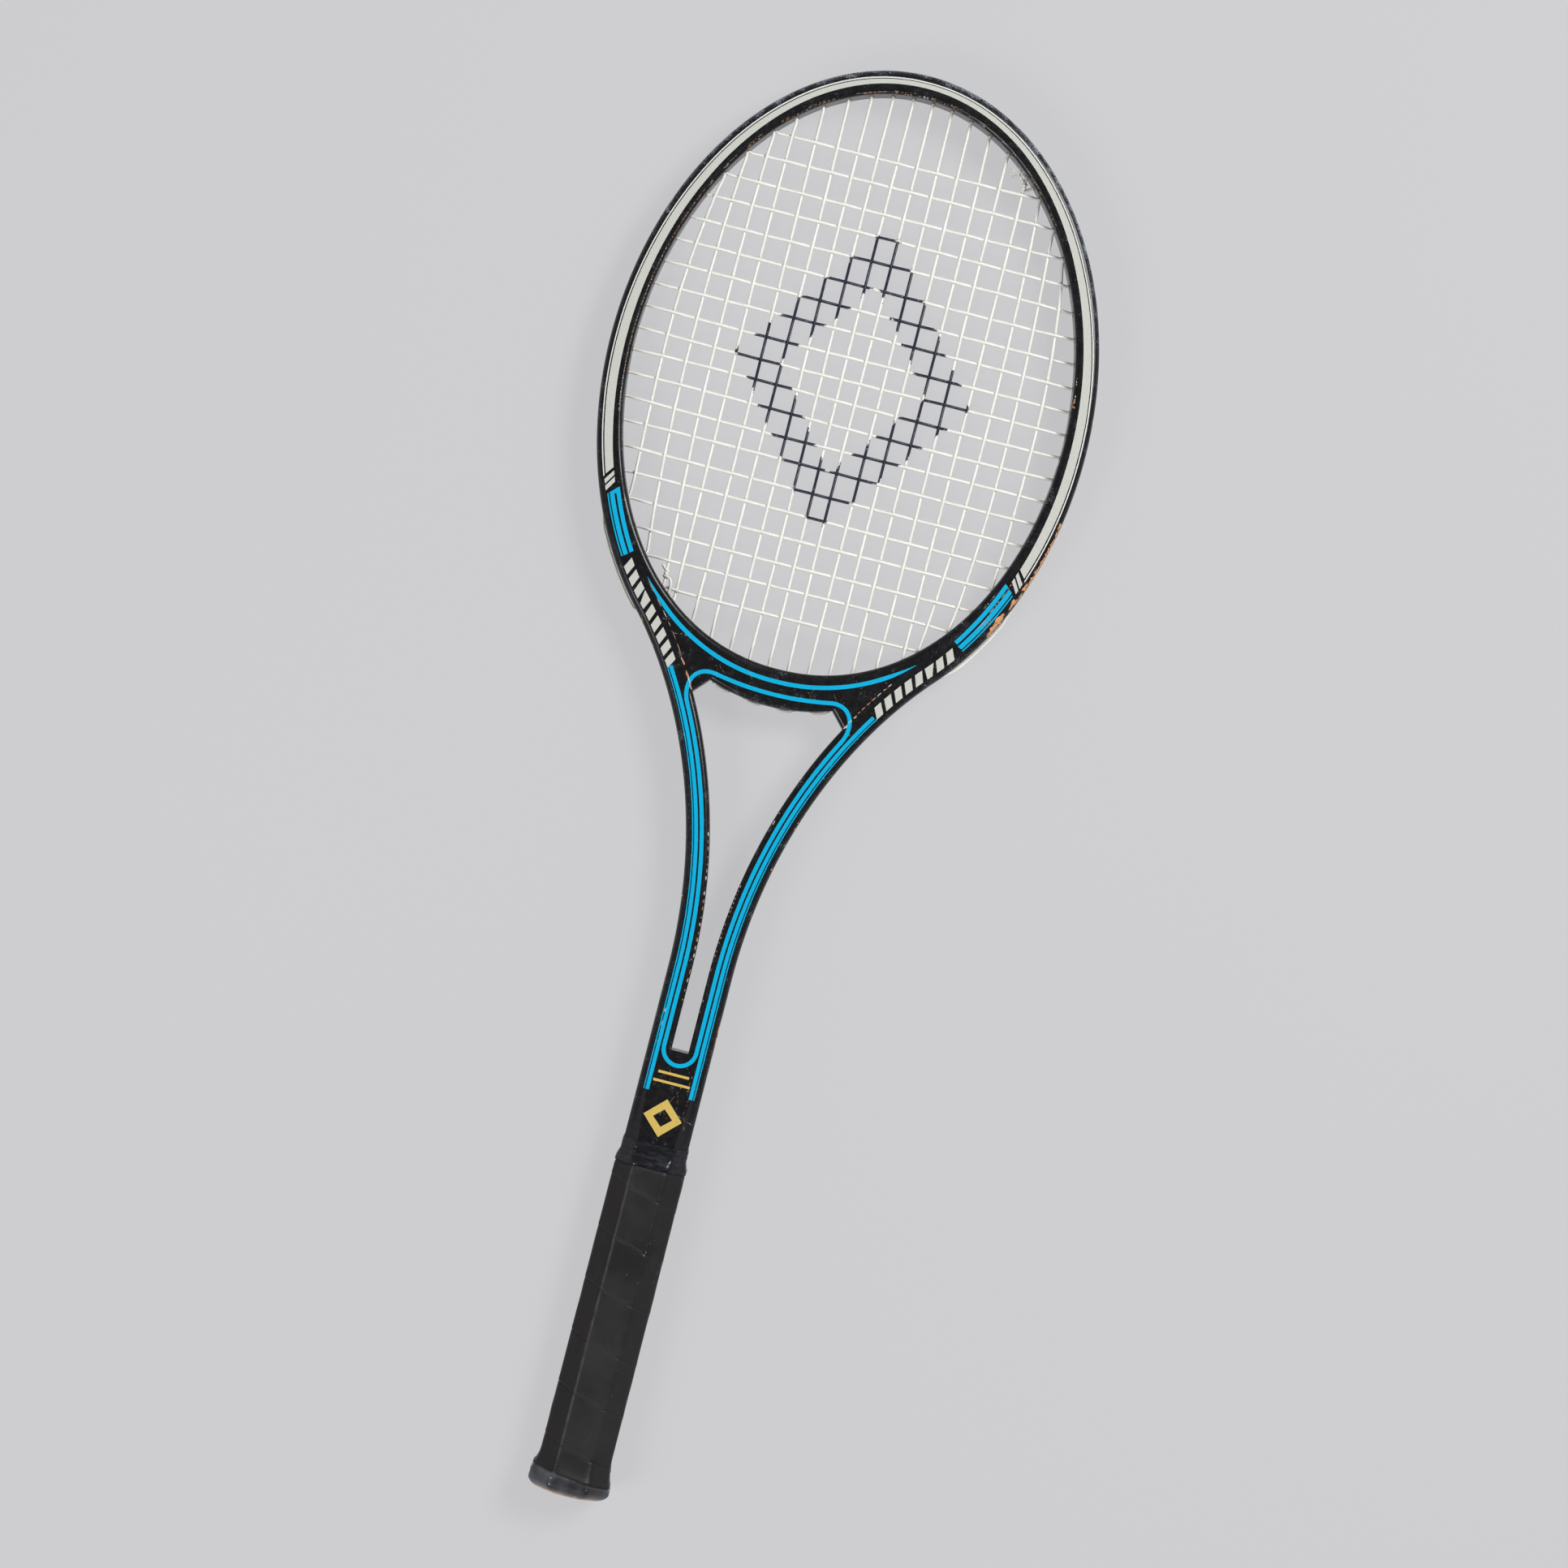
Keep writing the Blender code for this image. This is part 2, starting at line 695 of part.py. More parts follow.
def bridge_hole(x):
    """Hole through the bridge alone, leaning a little towards the middle of the throat."""
    exit_x = x * BRIDGE_FAN
    return Hole(Vector((x, string_edge_y(x))), Vector((exit_x, arch_y(exit_x))), None)


def shaft_hole(x):
    """Hole through the bridge and the bow, between straight down and square to the bow."""
    entry = Vector((x, string_edge_y(x)))

    def beside(place):
        station = outline(place)
        return (entry - station.point).cross(station.normal)

    square = bisect(beside, 0.0, 0.9, 1.6)
    straight = bisect(lambda place: outline(place).point.x, x, 0.9, 1.9)
    place = straight + (square - straight) * SHAFT_EXIT_LEAN
    return Hole(entry, outline(place).point, place)


def nearest_free(crosses, y, taken):
    free = [k for k in range(len(crosses)) if k not in taken]
    return min(free, key=lambda k: abs(crosses[k].entry.y - y))


def plan_holes():
    """Holes of the right half: one per cross string, and a top and a bottom one per main string."""
    crosses = [cross_hole(y) for y in cross_places()]
    xs = main_places()
    tops = [top_main_hole(x) for x in xs]
    bottoms = []
    shared_top = {}
    shared_bottom = {}
    for i, x in enumerate(xs):
        if i >= len(xs) - SHARED_MAINS:
            upper = nearest_free(crosses, tops[i].entry.y + TOP_LEAN, shared_top.values())
            lower = nearest_free(crosses, string_edge_y(x) - BOTTOM_LEAN, shared_bottom.values())
            shared_top[i] = upper
            shared_bottom[i] = lower
            tops[i] = crosses[upper]
            bottoms.append(crosses[lower])
        elif x * BRIDGE_FAN < bridge_corner_x() - HOLE_WIDTH / 2:
            bottoms.append(bridge_hole(x))
        else:
            bottoms.append(shaft_hole(x))
    return xs, tops, bottoms, crosses, set(shared_top.values()) | set(shared_bottom.values())


def add_drill(bm, hole, side, low, high):
    """A square-ended cutter along a hole, from inside the string opening to beyond the outer edge."""
    entry = Vector((hole.entry.x * side, hole.entry.y))
    leave = Vector((hole.exit.x * side, hole.exit.y))
    along = (leave - entry).normalized()
    across = Vector((-along.y, along.x)) * HOLE_WIDTH / 2
    rings = []
    for middle in (entry - along * DRILL_START, leave + along * CUT_MARGIN):
        left = middle + across
        right = middle - across
        corners = ((left, low), (left, high), (right, high), (right, low))
        rings.append([Vector((flat.x, flat.y, z)) for flat, z in corners])
    loft(bm, rings)


def build_cross_drills(bm):
    """Holes of the cross strings; those that a main string shares are taller."""
    xs, tops, bottoms, crosses, shared = plan_holes()
    half = HOLE_WIDTH / 2
    for side in (-1.0, 1.0):
        for k, hole in enumerate(crosses):
            add_drill(bm, hole, side, -LANE - half, LANE + half if k in shared else -LANE + half)


def build_main_drills(bm):
    xs, tops, bottoms, crosses, shared = plan_holes()
    half = HOLE_WIDTH / 2
    for side in (-1.0, 1.0):
        for i in range(len(xs) - SHARED_MAINS):
            add_drill(bm, tops[i], side, LANE - half, LANE + half)
            add_drill(bm, bottoms[i], side, LANE - half, LANE + half)


def build_tie_drills(bm):
    xs, tops, bottoms, crosses, shared = plan_holes()
    half = HOLE_WIDTH / 2
    lower, upper = tie_places(tops, bottoms, crosses)
    add_drill(bm, lower, -1.0, LANE - half, LANE + half)
    add_drill(bm, upper, 1.0, -LANE - half, -LANE + half)


def tie_hole(first, second):
    """Spare hole square to the bow, midway between the entries of its neighbours."""
    middle = (first.entry.x + second.entry.x) / 2
    return hole_at(bisect(lambda place: hole_at(place).entry.x, middle, first.place, second.place))


def tie_places(tops, bottoms, crosses):
    """The two spare holes where the ends of the string come back in to be knotted."""
    last_single = len(tops) - SHARED_MAINS - 1
    lower = tie_hole(crosses[-1], bottoms[last_single])
    upper = tie_hole(tops[last_single], crosses[0])
    return lower, upper


def main_x(x, y, top, bottom):
    """Across-position of a main string, which leans towards its holes near its two ends."""
    end = top if y > BED_CENTRE_Y else bottom
    share = clamp((y - BED_CENTRE_Y) / (end.entry.y - BED_CENTRE_Y), 0.0, 1.0)
    return x + (end.entry.x - x) * share * share


def at_height(flat, z):
    return Vector((flat.x, flat.y, z))


def rim_point(hole, side, z):
    """Where the string bends just before it enters its hole."""
    inward = (hole.entry - hole.exit).normalized()
    return at_height(flip(hole.entry + inward * RIM_STAND_OFF, side), z)


def outer_point(hole, side, z, depth=LOOP_DEPTH):
    """Where the string turns in the groove, or below the bridge."""
    if hole.place is None:
        return at_height(flip(hole.exit - Vector((0.0, LOOP_STAND_OFF)), side), z)
    return at_height(flip(inside(hole.place, depth), side), z)


def run_round(first, second, side, z, depth):
    """Points along the outside of the bow between two holes, for a run that lies over other loops."""
    count = 5
    points = []
    for i in range(1, count):
        place = first.place + (second.place - first.place) * i / count
        points.append(at_height(flip(inside(place, depth), side), z))
    return points


def weave_sign(main_index, cross_index):
    return 1.0 if (main_index + cross_index) % 2 == 0 else -1.0


def main_run(index, side, xs, tops, bottoms, crosses):
    """Points of one main string from its bottom hole to its top hole."""
    x, top, bottom = xs[index], tops[index], bottoms[index]
    number = index if side > 0 else -1 - index
    points = []
    for k in reversed(range(len(crosses))):
        y = crosses[k].entry.y
        across = main_x(x, y, top, bottom)
        if bottom.entry.y < y < top.entry.y and across < crosses[k].entry.x - CROSSING_CLEARANCE:
            points.append(Vector((side * across, y, WEAVE_HEIGHT * weave_sign(number, k))))
    ends = (
        [outer_point(bottom, side, LANE), rim_point(bottom, side, LANE)],
        [rim_point(top, side, LANE), outer_point(top, side, LANE)],
    )
    return ends[0] + points + ends[1]


def cross_run(index, xs, tops, bottoms, crosses, alone):
    """Points of one cross string, left to right; where it is alone in its holes it may sit off centre."""
    hole = crosses[index]
    y = hole.entry.y
    crossings = []
    for side in (-1.0, 1.0):
        for i, x in enumerate(xs):
            across = main_x(x, y, tops[i], bottoms[i])
            number = i if side > 0 else -1 - i
            if bottoms[i].entry.y < y < tops[i].entry.y and across < hole.entry.x - CROSSING_CLEARANCE:
                crossings.append(Vector((side * across, y, -WEAVE_HEIGHT * weave_sign(number, index))))
    crossings.sort(key=lambda point: point.x)
    left_ease = RIM_EASE if alone and crossings[0].z > 0 else 0.0
    right_ease = RIM_EASE if alone and crossings[-1].z > 0 else 0.0
    left = [outer_point(hole, -1.0, -LANE), rim_point(hole, -1.0, left_ease - LANE)]
    right = [rim_point(hole, 1.0, right_ease - LANE), outer_point(hole, 1.0, -LANE)]
    return left + crossings + right


def knot(first, second, face):
    """Turns round a stretch of a main string, begun from the right on one face of the bed, and a tail."""
    axis = (second - first).normalized()
    if axis.y < 0:
        axis = -axis
    side = Vector((1.0, 0.0, 0.0)) - axis * axis.x
    side.normalize()
    front = side.cross(axis)
    middle = (first + second) / 2
    points = []
    for i in range(int(KNOT_TURNS * KNOT_POINTS_PER_TURN) + 1):
        turn = i / KNOT_POINTS_PER_TURN
        angle = face * math.pi * (0.5 + 2.0 * turn)
        round_it = (side * math.cos(angle) + front * math.sin(angle)) * KNOT_RADIUS
        points.append(middle + axis * KNOT_PITCH * (turn - KNOT_TURNS / 2) + round_it)
    points.append(points[-1] + (axis * 0.8 - side * 0.6) * KNOT_TAIL)
    return [points[0] + side * KNOT_LEAD] + points


def string_route():
    """The whole string: tied off, up and down the mains, across the crosses from the throat up, tied off."""
    xs, tops, bottoms, crosses, shared = plan_holes()
    lower_tie, upper_tie = tie_places(tops, bottoms, crosses)
    order = [(i, -1.0) for i in reversed(range(len(xs)))] + [(i, 1.0) for i in range(len(xs))]
    route = []

    single = len(xs) - SHARED_MAINS
    tied = main_run(single, -1.0, xs, tops, bottoms, crosses)
    route += reversed(knot(tied[1], tied[2], 1.0))
    entry = rim_point(lower_tie, -1.0, LANE)
    route.append(Vector((entry.x, crosses[-1].entry.y, KNOT_LIFT)))
    route += [entry, outer_point(lower_tie, -1.0, LANE, PROUD_DEPTH)]
    route += run_round(lower_tie, bottoms[-1], -1.0, LANE, PROUD_DEPTH)

    upward = True
    for i, side in order:
        run = main_run(i, side, xs, tops, bottoms, crosses)
        route += run if upward else reversed(run)
        upward = not upward

    route += run_round(bottoms[-1], crosses[-1], 1.0, 0.0, PROUD_DEPTH)
    leftward = True
    for k in reversed(range(len(crosses))):
        run = cross_run(k, xs, tops, bottoms, crosses, k not in shared)
        route += reversed(run) if leftward else run
        leftward = not leftward

    route += [outer_point(upper_tie, 1.0, -LANE), rim_point(upper_tie, 1.0, -LANE)]
    tied = main_run(single - 1, 1.0, xs, tops, bottoms, crosses)
    route += knot(tied[-3], tied[-2], -1.0)
    return route


def least_self_gap(points):
    """Smallest clear space between stretches of the string that don't follow on each other."""
    cell = 0.02
    samples = []
    travelled = 0.0
    for first, second in zip(points, points[1:]):
        length = (second - first).length
        steps = max(1, int(length / 0.0008))
        for i in range(steps):
            samples.append((travelled + length * i / steps, first.lerp(second, i / steps)))
        travelled += length
    grid = {}
    for number, (_, point) in enumerate(samples):
        key = (int(point.x // cell), int(point.y // cell))
        grid.setdefault(key, []).append(number)
    least = 1.0
    for (column, row), members in grid.items():
        near = []
        for i in (0, 1):
            for j in (-1, 0, 1):
                if i or j >= 0:
                    near += grid.get((column + i, row + j), [])
        for a in members:
            for b in near:
                if abs(samples[a][0] - samples[b][0]) > 5 * STRING_DIAMETER:
                    least = min(least, (samples[a][1] - samples[b][1]).length)
    return least - STRING_DIAMETER, travelled


def string_curve(points):
    curve = bpy.data.curves.new("string", "CURVE")
    curve.dimensions = "3D"
    curve.bevel_depth = STRING_DIAMETER / 2
    curve.bevel_resolution = 0
    curve.use_fill_caps = True
    curve.twist_mode = "MINIMUM"
    spline = curve.splines.new("POLY")
    spline.points.add(len(points) - 1)
    for slot, point in zip(spline.points, points):
        slot.co = (*point, 1.0)
    return curve


# Assembly

def make_racket():
    clear_scene()
    datum = make_datum()
    lacquer = make_material("black_lacquer", (0.012, 0.012, 0.014), 0.25)
    bare_ash = make_material("ash_wood", (0.62, 0.36, 0.18), 0.5)
    leather = make_material("black_leather", (0.018, 0.016, 0.016), 0.6)
    tape = make_material("black_tape", (0.02, 0.02, 0.022), 0.35)
    nylon = make_material("cream_nylon", (0.85, 0.80, 0.68), 0.35)

    drills = []
    for name, build in (("cross_drills", build_cross_drills), ("main_drills", build_main_drills),
                        ("tie_drills", build_tie_drills)):
        drills.append(make_helper(add_object(name, mesh_from(name, build), datum)))
    groove = make_helper(add_object("string_groove", mesh_from("string_groove", build_groove), datum))
    bow_space = make_helper(add_object("bow_space", mesh_from("bow_space", build_bow_clearance), datum))

    for index, name in enumerate(PLY_NAMES):
        ply = add_object(name, mesh_from(name, lambda bm: build_ply(bm, index)), datum, lacquer)
        if index == 0:
            cut_with(ply, groove)
        for drill in drills:
            cut_with(ply, drill)

    bridge = (
        ("bridge_core", build_bridge_core, bare_ash),
        ("bridge_string_ply", build_bridge_string_ply, lacquer),
        ("bridge_throat_ply", build_bridge_throat_ply, lacquer),
    )
    for name, build, material in bridge:
        piece = add_object(name, mesh_from(name, build), datum, material)
        cut_with(piece, bow_space)
        for drill in drills:
            cut_with(piece, drill)

    handle = (
        ("heel_wedge", build_heel_wedge, lacquer),
        ("handle_cheek_front", lambda bm: build_cheek(bm, 1.0), lacquer),
        ("handle_cheek_back", lambda bm: build_cheek(bm, -1.0), lacquer),
        ("butt_collar", build_butt_collar, lacquer),
        ("butt_cap", build_butt_cap, lacquer),
        ("grip_wrap", build_grip, leather),
        ("grip_collar_tape", build_collar_tape, tape),
    )
    for name, build, material in handle:
        add_object(name, mesh_from(name, build), datum, material)

    route = string_route()
    gap, length = least_self_gap(route)
    print(f"string: {len(route)} points, {length:.2f} m, least gap to itself {gap * 1000:.2f} mm")
    add_object("string", string_curve(route), datum, nylon)


make_racket()
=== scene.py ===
"""Looks of a wooden tennis racket: lacquer, painted stripes, string bed, leather grip and wear."""

import math
from functools import cache

import bmesh
import bpy
import numpy as np
from mathutils import Matrix, Vector, geometry
from mathutils.kdtree import KDTree


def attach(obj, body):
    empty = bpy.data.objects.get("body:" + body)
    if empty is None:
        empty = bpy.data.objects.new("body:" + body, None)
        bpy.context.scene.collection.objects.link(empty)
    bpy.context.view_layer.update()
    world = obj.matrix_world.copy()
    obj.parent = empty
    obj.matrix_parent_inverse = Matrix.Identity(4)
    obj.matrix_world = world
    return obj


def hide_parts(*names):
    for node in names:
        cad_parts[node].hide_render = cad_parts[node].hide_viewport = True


bl_info = {
    "name": "Wooden Racket Looks",
    "version": (1, 0, 0),
    "blender": (4, 5, 0),
    "location": "View3D > Sidebar > Racket",
    "description": "Dresses a strung wooden racket: lacquer, stripes, strings, grip and wear",
    "category": "Object",
}

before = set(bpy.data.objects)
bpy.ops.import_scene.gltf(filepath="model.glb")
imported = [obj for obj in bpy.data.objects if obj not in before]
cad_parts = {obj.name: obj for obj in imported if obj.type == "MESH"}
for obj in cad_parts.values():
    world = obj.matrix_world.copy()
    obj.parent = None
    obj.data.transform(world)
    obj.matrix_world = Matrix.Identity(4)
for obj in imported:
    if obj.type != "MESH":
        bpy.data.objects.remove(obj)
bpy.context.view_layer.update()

# Frame of the racket, the same sizes as its solids (metres; Y runs from the butt to the tip)
LENGTH = 0.686
HEAD_HALF_LENGTH = 0.1546
HEAD_HALF_WIDTH = 0.1147
HEAD_CENTRE_Y = LENGTH - HEAD_HALF_LENGTH
HEAD_ARC_END = math.radians(-50.8)
SHOULDER_HANDLE = 0.0415
NECK_HANDLE = 0.0731
NECK_Y = 0.2526
NECK_HALF_WIDTH = 0.0153
BOW_WIDTH = 0.0112
HEAD_DEPTH = 0.0180
SHAFT_DEPTH = 0.0195
OUTER_EDGE_RADIUS = 0.0032
ROUNDING_ARC = OUTER_EDGE_RADIUS * math.pi / 2
INNER_EDGE_RADIUS = 0.0022
STRING_EDGE_CENTRE_Y = 0.5365
STRING_EDGE_HALF_LENGTH = 0.1368
STRING_EDGE_HALF_WIDTH = HEAD_HALF_WIDTH - BOW_WIDTH
STRING_EDGE_POWER = 2.1
STRING_EDGE_TOP_Y = 0.4400
BRIDGE_MIDDLE_Y = 0.3817
BRIDGE_ARCH_RISE = 0.0052
BRIDGE_CORNER_X = 0.0295
BRIDGE_LEG_DROP = 0.0072
LEG_END_Y = BRIDGE_MIDDLE_Y + BRIDGE_ARCH_RISE - BRIDGE_LEG_DROP
SLOT_END_Y = 0.2150
HANDLE_HALF_DEPTH = 0.01305
HANDLE_CHAMFER = 0.0065
# The lacquered shoulder starts under the tape and shows from above it
SHOULDER_START_Y = 0.1480
SHOULDER_BARE_Y = 0.1700
SHOULDER_FULL_Y = 0.1725
CHEEK_RUNOUT = 0.0040
RIM_GROWTH = 0.00415
BUTT_HALF_DEPTH = HANDLE_HALF_DEPTH + RIM_GROWTH
GROOVE_DEPTH = 0.0020
GROOVE_WIDTH = 0.0046
GROOVE_END_Y = 0.3760
GROOVE_RUNOUT = 0.0080
PLACE_IN_ROW = np.array((0.0, -LENGTH / 2, BUTT_HALF_DEPTH))
JOINT_GAP = 0.00012
BRIDGE_GRID = 0.0021
# Depths of two rows of points on the flat face of the bow, between its roundings
FLAT_FACE_DEPTHS = [0.0052, 0.0072]

# Depths of the painted lines behind the outer edge
THIN_LINE = (0.00300, 0.00350)
THICK_LINE = (0.00400, 0.00575)
LOOP_LINE = (0.00655, 0.00850)
# The head's lines change their depth along the bow: one value for each tenth from the tip
PIN_LINE = ((0.00335, 0.00310, 0.00290, 0.00300, 0.00305, 0.00280, 0.00245, 0.00235, 0.00262),
            (0.00400, 0.00375, 0.00355, 0.00362, 0.00365, 0.00338, 0.00302, 0.00290, 0.00316))
HEAD_BAND = ((0.00435, 0.00415, 0.00400, 0.00408, 0.00412, 0.00385, 0.00352, 0.00348, 0.00380),
             (0.00640, 0.00642, 0.00650, 0.00705, 0.00745, 0.00752, 0.00750, 0.00752, 0.00766))
BAR_LINE = (0.00300, 0.00780)
SLANT_LINE = (0.00310, 0.00800)
GROUP_THIN = (0.00355, 0.00415)
GROUP_MIDDLE = (0.00475, 0.00685)
GROUP_INNER = (0.00780, 0.00975)
LOOP_FOOT_Y = 0.2084
# Reach of the blue line on the bridge, as angles to the left and right of straight down
BRIDGE_LINE_LEFT = 0.683
BRIDGE_LINE_RIGHT = 0.585
PAINT_LIFT = 0.00004
PAINT_THICKNESS = 0.00007


# Plan of the frame

def outline(places):
    """Points and normals of the outer edge: 0 to 1 round the head, 2 at the neck, 3 at the butt."""
    places = np.atleast_1d(np.asarray(places, float))
    points = np.zeros((len(places), 2))
    normals = np.zeros((len(places), 2))
    radii = np.array((HEAD_HALF_WIDTH, HEAD_HALF_LENGTH))
    head = places <= 1.0
    angle = math.pi / 2 + (HEAD_ARC_END - math.pi / 2) * places[head]
    way = np.stack((np.cos(angle), np.sin(angle)), 1)
    points[head] = way * radii + (0.0, HEAD_CENTRE_Y)
    normals[head] = way / radii
    turn = np.array((math.cos(HEAD_ARC_END), math.sin(HEAD_ARC_END)))
    start = turn * radii + (0.0, HEAD_CENTRE_Y)
    along = np.array((turn[1] / HEAD_HALF_LENGTH, -turn[0] / HEAD_HALF_WIDTH))
    second = start + along / np.linalg.norm(along) * SHOULDER_HANDLE
    end = np.array((NECK_HALF_WIDTH, NECK_Y))
    third = end + (0.0, NECK_HANDLE)
    shoulder = (places > 1.0) & (places <= 2.0)
    t = (places[shoulder] - 1.0)[:, None]
    r = 1.0 - t
    points[shoulder] = bezier(start, second, third, end, t)
    slope = (second - start) * r * r + (third - second) * 2 * r * t + (end - third) * t * t
    normals[shoulder] = np.stack((-slope[:, 1], slope[:, 0]), 1)
    handle = places > 2.0
    points[handle] = np.stack((np.full(handle.sum(), NECK_HALF_WIDTH), NECK_Y * (3.0 - places[handle])), 1)
    normals[handle] = (1.0, 0.0)
    return points, unit_rows(normals)


def bezier(start, second, third, end, t):
    """Points of a curve from start to end, drawn by two handles."""
    r = 1.0 - t
    return start * r**3 + second * 3 * r * r * t + third * 3 * r * t * t + end * t**3


def unit_rows(vectors):
    """Vectors of length 1."""
    return vectors / np.linalg.norm(vectors, axis=1)[:, None]


def inside(places, depths):
    """Points at a depth behind the outer edge."""
    points, normals = outline(places)
    return points - normals * np.broadcast_to(depths, (len(points),))[:, None]


def place_at(y, depth=0.0):
    """Place on the right half where the line at this depth crosses a height."""
    places = np.linspace(0.02, 2.999, 4000)
    return float(np.interp(-y, -inside(places, depth)[:, 1], places))


def stretch(top, bottom, depth, count, side=1.0):
    """Points of a line at one depth between two heights."""
    places = np.linspace(place_at(top, depth), place_at(bottom, depth), count)
    return inside(places, depth) * (side, 1.0)


def string_edge_share(share):
    """How far the string edge reaches one way, at a share of its reach the other way."""
    return (1.0 - np.clip(share, 0.0, 1.0) ** STRING_EDGE_POWER) ** (1.0 / STRING_EDGE_POWER)


def string_edge_half_width(y):
    """Half width of the strings' opening at a height."""
    return STRING_EDGE_HALF_WIDTH * string_edge_share((STRING_EDGE_CENTRE_Y - y) / STRING_EDGE_HALF_LENGTH)


def string_edge_y(x):
    """Lower edge of the strings' opening at an offset from the middle."""
    rise = STRING_EDGE_HALF_LENGTH * string_edge_share(np.abs(x) / STRING_EDGE_HALF_WIDTH)
    return STRING_EDGE_CENTRE_Y - rise


def string_edge(angles):
    """Points and outward normals of the bridge's string side, by angle from straight down."""
    angles = np.asarray(angles, float)
    power = 2.0 / STRING_EDGE_POWER
    side = np.sign(angles)
    x = side * STRING_EDGE_HALF_WIDTH * np.abs(np.sin(angles)) ** power
    y = STRING_EDGE_CENTRE_Y - STRING_EDGE_HALF_LENGTH * np.cos(angles) ** power
    steep = STRING_EDGE_POWER - 1.0
    across = side * (np.abs(x) / STRING_EDGE_HALF_WIDTH) ** steep / STRING_EDGE_HALF_WIDTH
    down = ((STRING_EDGE_CENTRE_Y - y) / STRING_EDGE_HALF_LENGTH) ** steep / STRING_EDGE_HALF_LENGTH
    return np.stack((x, y), 1), unit_rows(np.stack((across, -down), 1))


def edge_depth(places):
    """Depth at which the opening behind the bow begins: its own width, or more where the bridge fills in."""
    places = np.atleast_1d(np.asarray(places, float))
    points, normals = outline(places)
    low = np.zeros(len(places))
    high = np.full(len(places), BOW_WIDTH * 4)
    for _ in range(36):
        middle = (low + high) / 2
        at = points - normals * middle[:, None]
        wood = at[:, 0] > string_edge_half_width(at[:, 1])
        low = np.where(wood, middle, low)
        high = np.where(wood, high, middle)
    depth = np.maximum(BOW_WIDTH, low)
    depth[points[:, 1] > STRING_EDGE_CENTRE_Y] = BOW_WIDTH
    inner_y = points[:, 1] - normals[:, 1] * BOW_WIDTH
    depth[inner_y < LEG_END_Y] = BOW_WIDTH
    return depth


def arch_y(x):
    """Lower edge of the bridge."""
    return BRIDGE_MIDDLE_Y + BRIDGE_ARCH_RISE * (x / BRIDGE_CORNER_X) ** 2


# Heights of the frame's faces

def ramp01(value, start, end):
    """0 at the start, 1 at the end, even between them."""
    return np.clip((value - start) / (end - start), 0.0, 1.0)


def half_depth(y):
    """Half depth of the bow, which is thickest in the shafts."""
    return (HEAD_DEPTH + (SHAFT_DEPTH - HEAD_DEPTH) * ramp01(y, LENGTH, NECK_Y)) / 2


def rounding_drop(distance, radius):
    """How far a rounded edge falls below its face."""
    short = radius - np.clip(distance, 0.0, radius)
    return radius - np.sqrt(np.maximum(radius * radius - short * short, 0.0))


def bare_inner_edge(y):
    """1 where the inner edge is rounded, 0 where the bridge or the handle covers it."""
    below_bridge = ramp01(y, LEG_END_Y, LEG_END_Y - CHEEK_RUNOUT)
    above_slot_end = ramp01(y, SLOT_END_Y, SLOT_END_Y + CHEEK_RUNOUT)
    return np.where(y > LEG_END_Y, 1.0, below_bridge * above_slot_end)


def bow_height(depth, y, edge):
    """Height of the bow's face, rounded on both edges."""
    inner = rounding_drop(edge - depth, INNER_EDGE_RADIUS) * bare_inner_edge(y)
    return half_depth(y) - rounding_drop(depth, OUTER_EDGE_RADIUS) - inner


def cheek_top(y):
    """Height of the cheek's flat face."""
    seat = SHAFT_DEPTH / 2
    return seat + (HANDLE_HALF_DEPTH - seat) * ramp01(y, SLOT_END_Y - CHEEK_RUNOUT, SHOULDER_FULL_Y)


def cheek_crease(y):
    """Depth of the crease between the cheek's flat face and its long facet."""
    return float(cheek_top(y)) - HANDLE_HALF_DEPTH + HANDLE_CHAMFER


def shoulder_height(x, y):
    """Face of the handle's shoulder: the shafts, the cheek that swells between them and its long facets."""
    depth = NECK_HALF_WIDTH - np.abs(x)
    half = half_depth(y)
    rounded = half - rounding_drop(depth, OUTER_EDGE_RADIUS)
    chamfered = np.minimum(half, HANDLE_HALF_DEPTH - np.maximum(0.0, HANDLE_CHAMFER - depth))
    base = rounded + (chamfered - rounded) * ramp01(y, SLOT_END_Y, SHOULDER_FULL_Y)
    cheek = np.minimum(cheek_top(y), HANDLE_HALF_DEPTH - HANDLE_CHAMFER + depth)
    return np.where(y < SLOT_END_Y - CHEEK_RUNOUT, np.maximum(base, cheek), base)


class Surface:
    """Looks up the depth and the height of the lacquered face at any point in plan."""

    def __init__(self):
        places = np.linspace(0.0, 2.2, 5000)
        self.points, self.normals = outline(places)
        self.edges = edge_depth(places)
        self.tree = KDTree(len(places))
        for i, (x, y) in enumerate(self.points):
            self.tree.insert((x, y, 0.0), i)
        self.tree.balance()

    def depth_at(self, x, y):
        """Depth of a point behind the outer edge, and the depth at which the opening begins there."""
        _, k, _ = self.tree.find((abs(x), y, 0.0))
        return float((self.points[k] - (abs(x), y)) @ self.normals[k]), self.edges[k]

    def height(self, points):
        heights = np.zeros(len(points))
        for i, (x, y) in enumerate(points):
            if y < SLOT_END_Y:
                heights[i] = shoulder_height(np.array([x]), np.array([y]))[0]
                continue
            depth, edge = self.depth_at(x, y)
            heights[i] = bow_height(depth, y, edge) if depth < BOW_WIDTH else half_depth(y)
        return heights


# Mesh helpers

def in_row(points):
    """Racket coordinates moved to the frame's own."""
    return np.asarray(points, float) + PLACE_IN_ROW


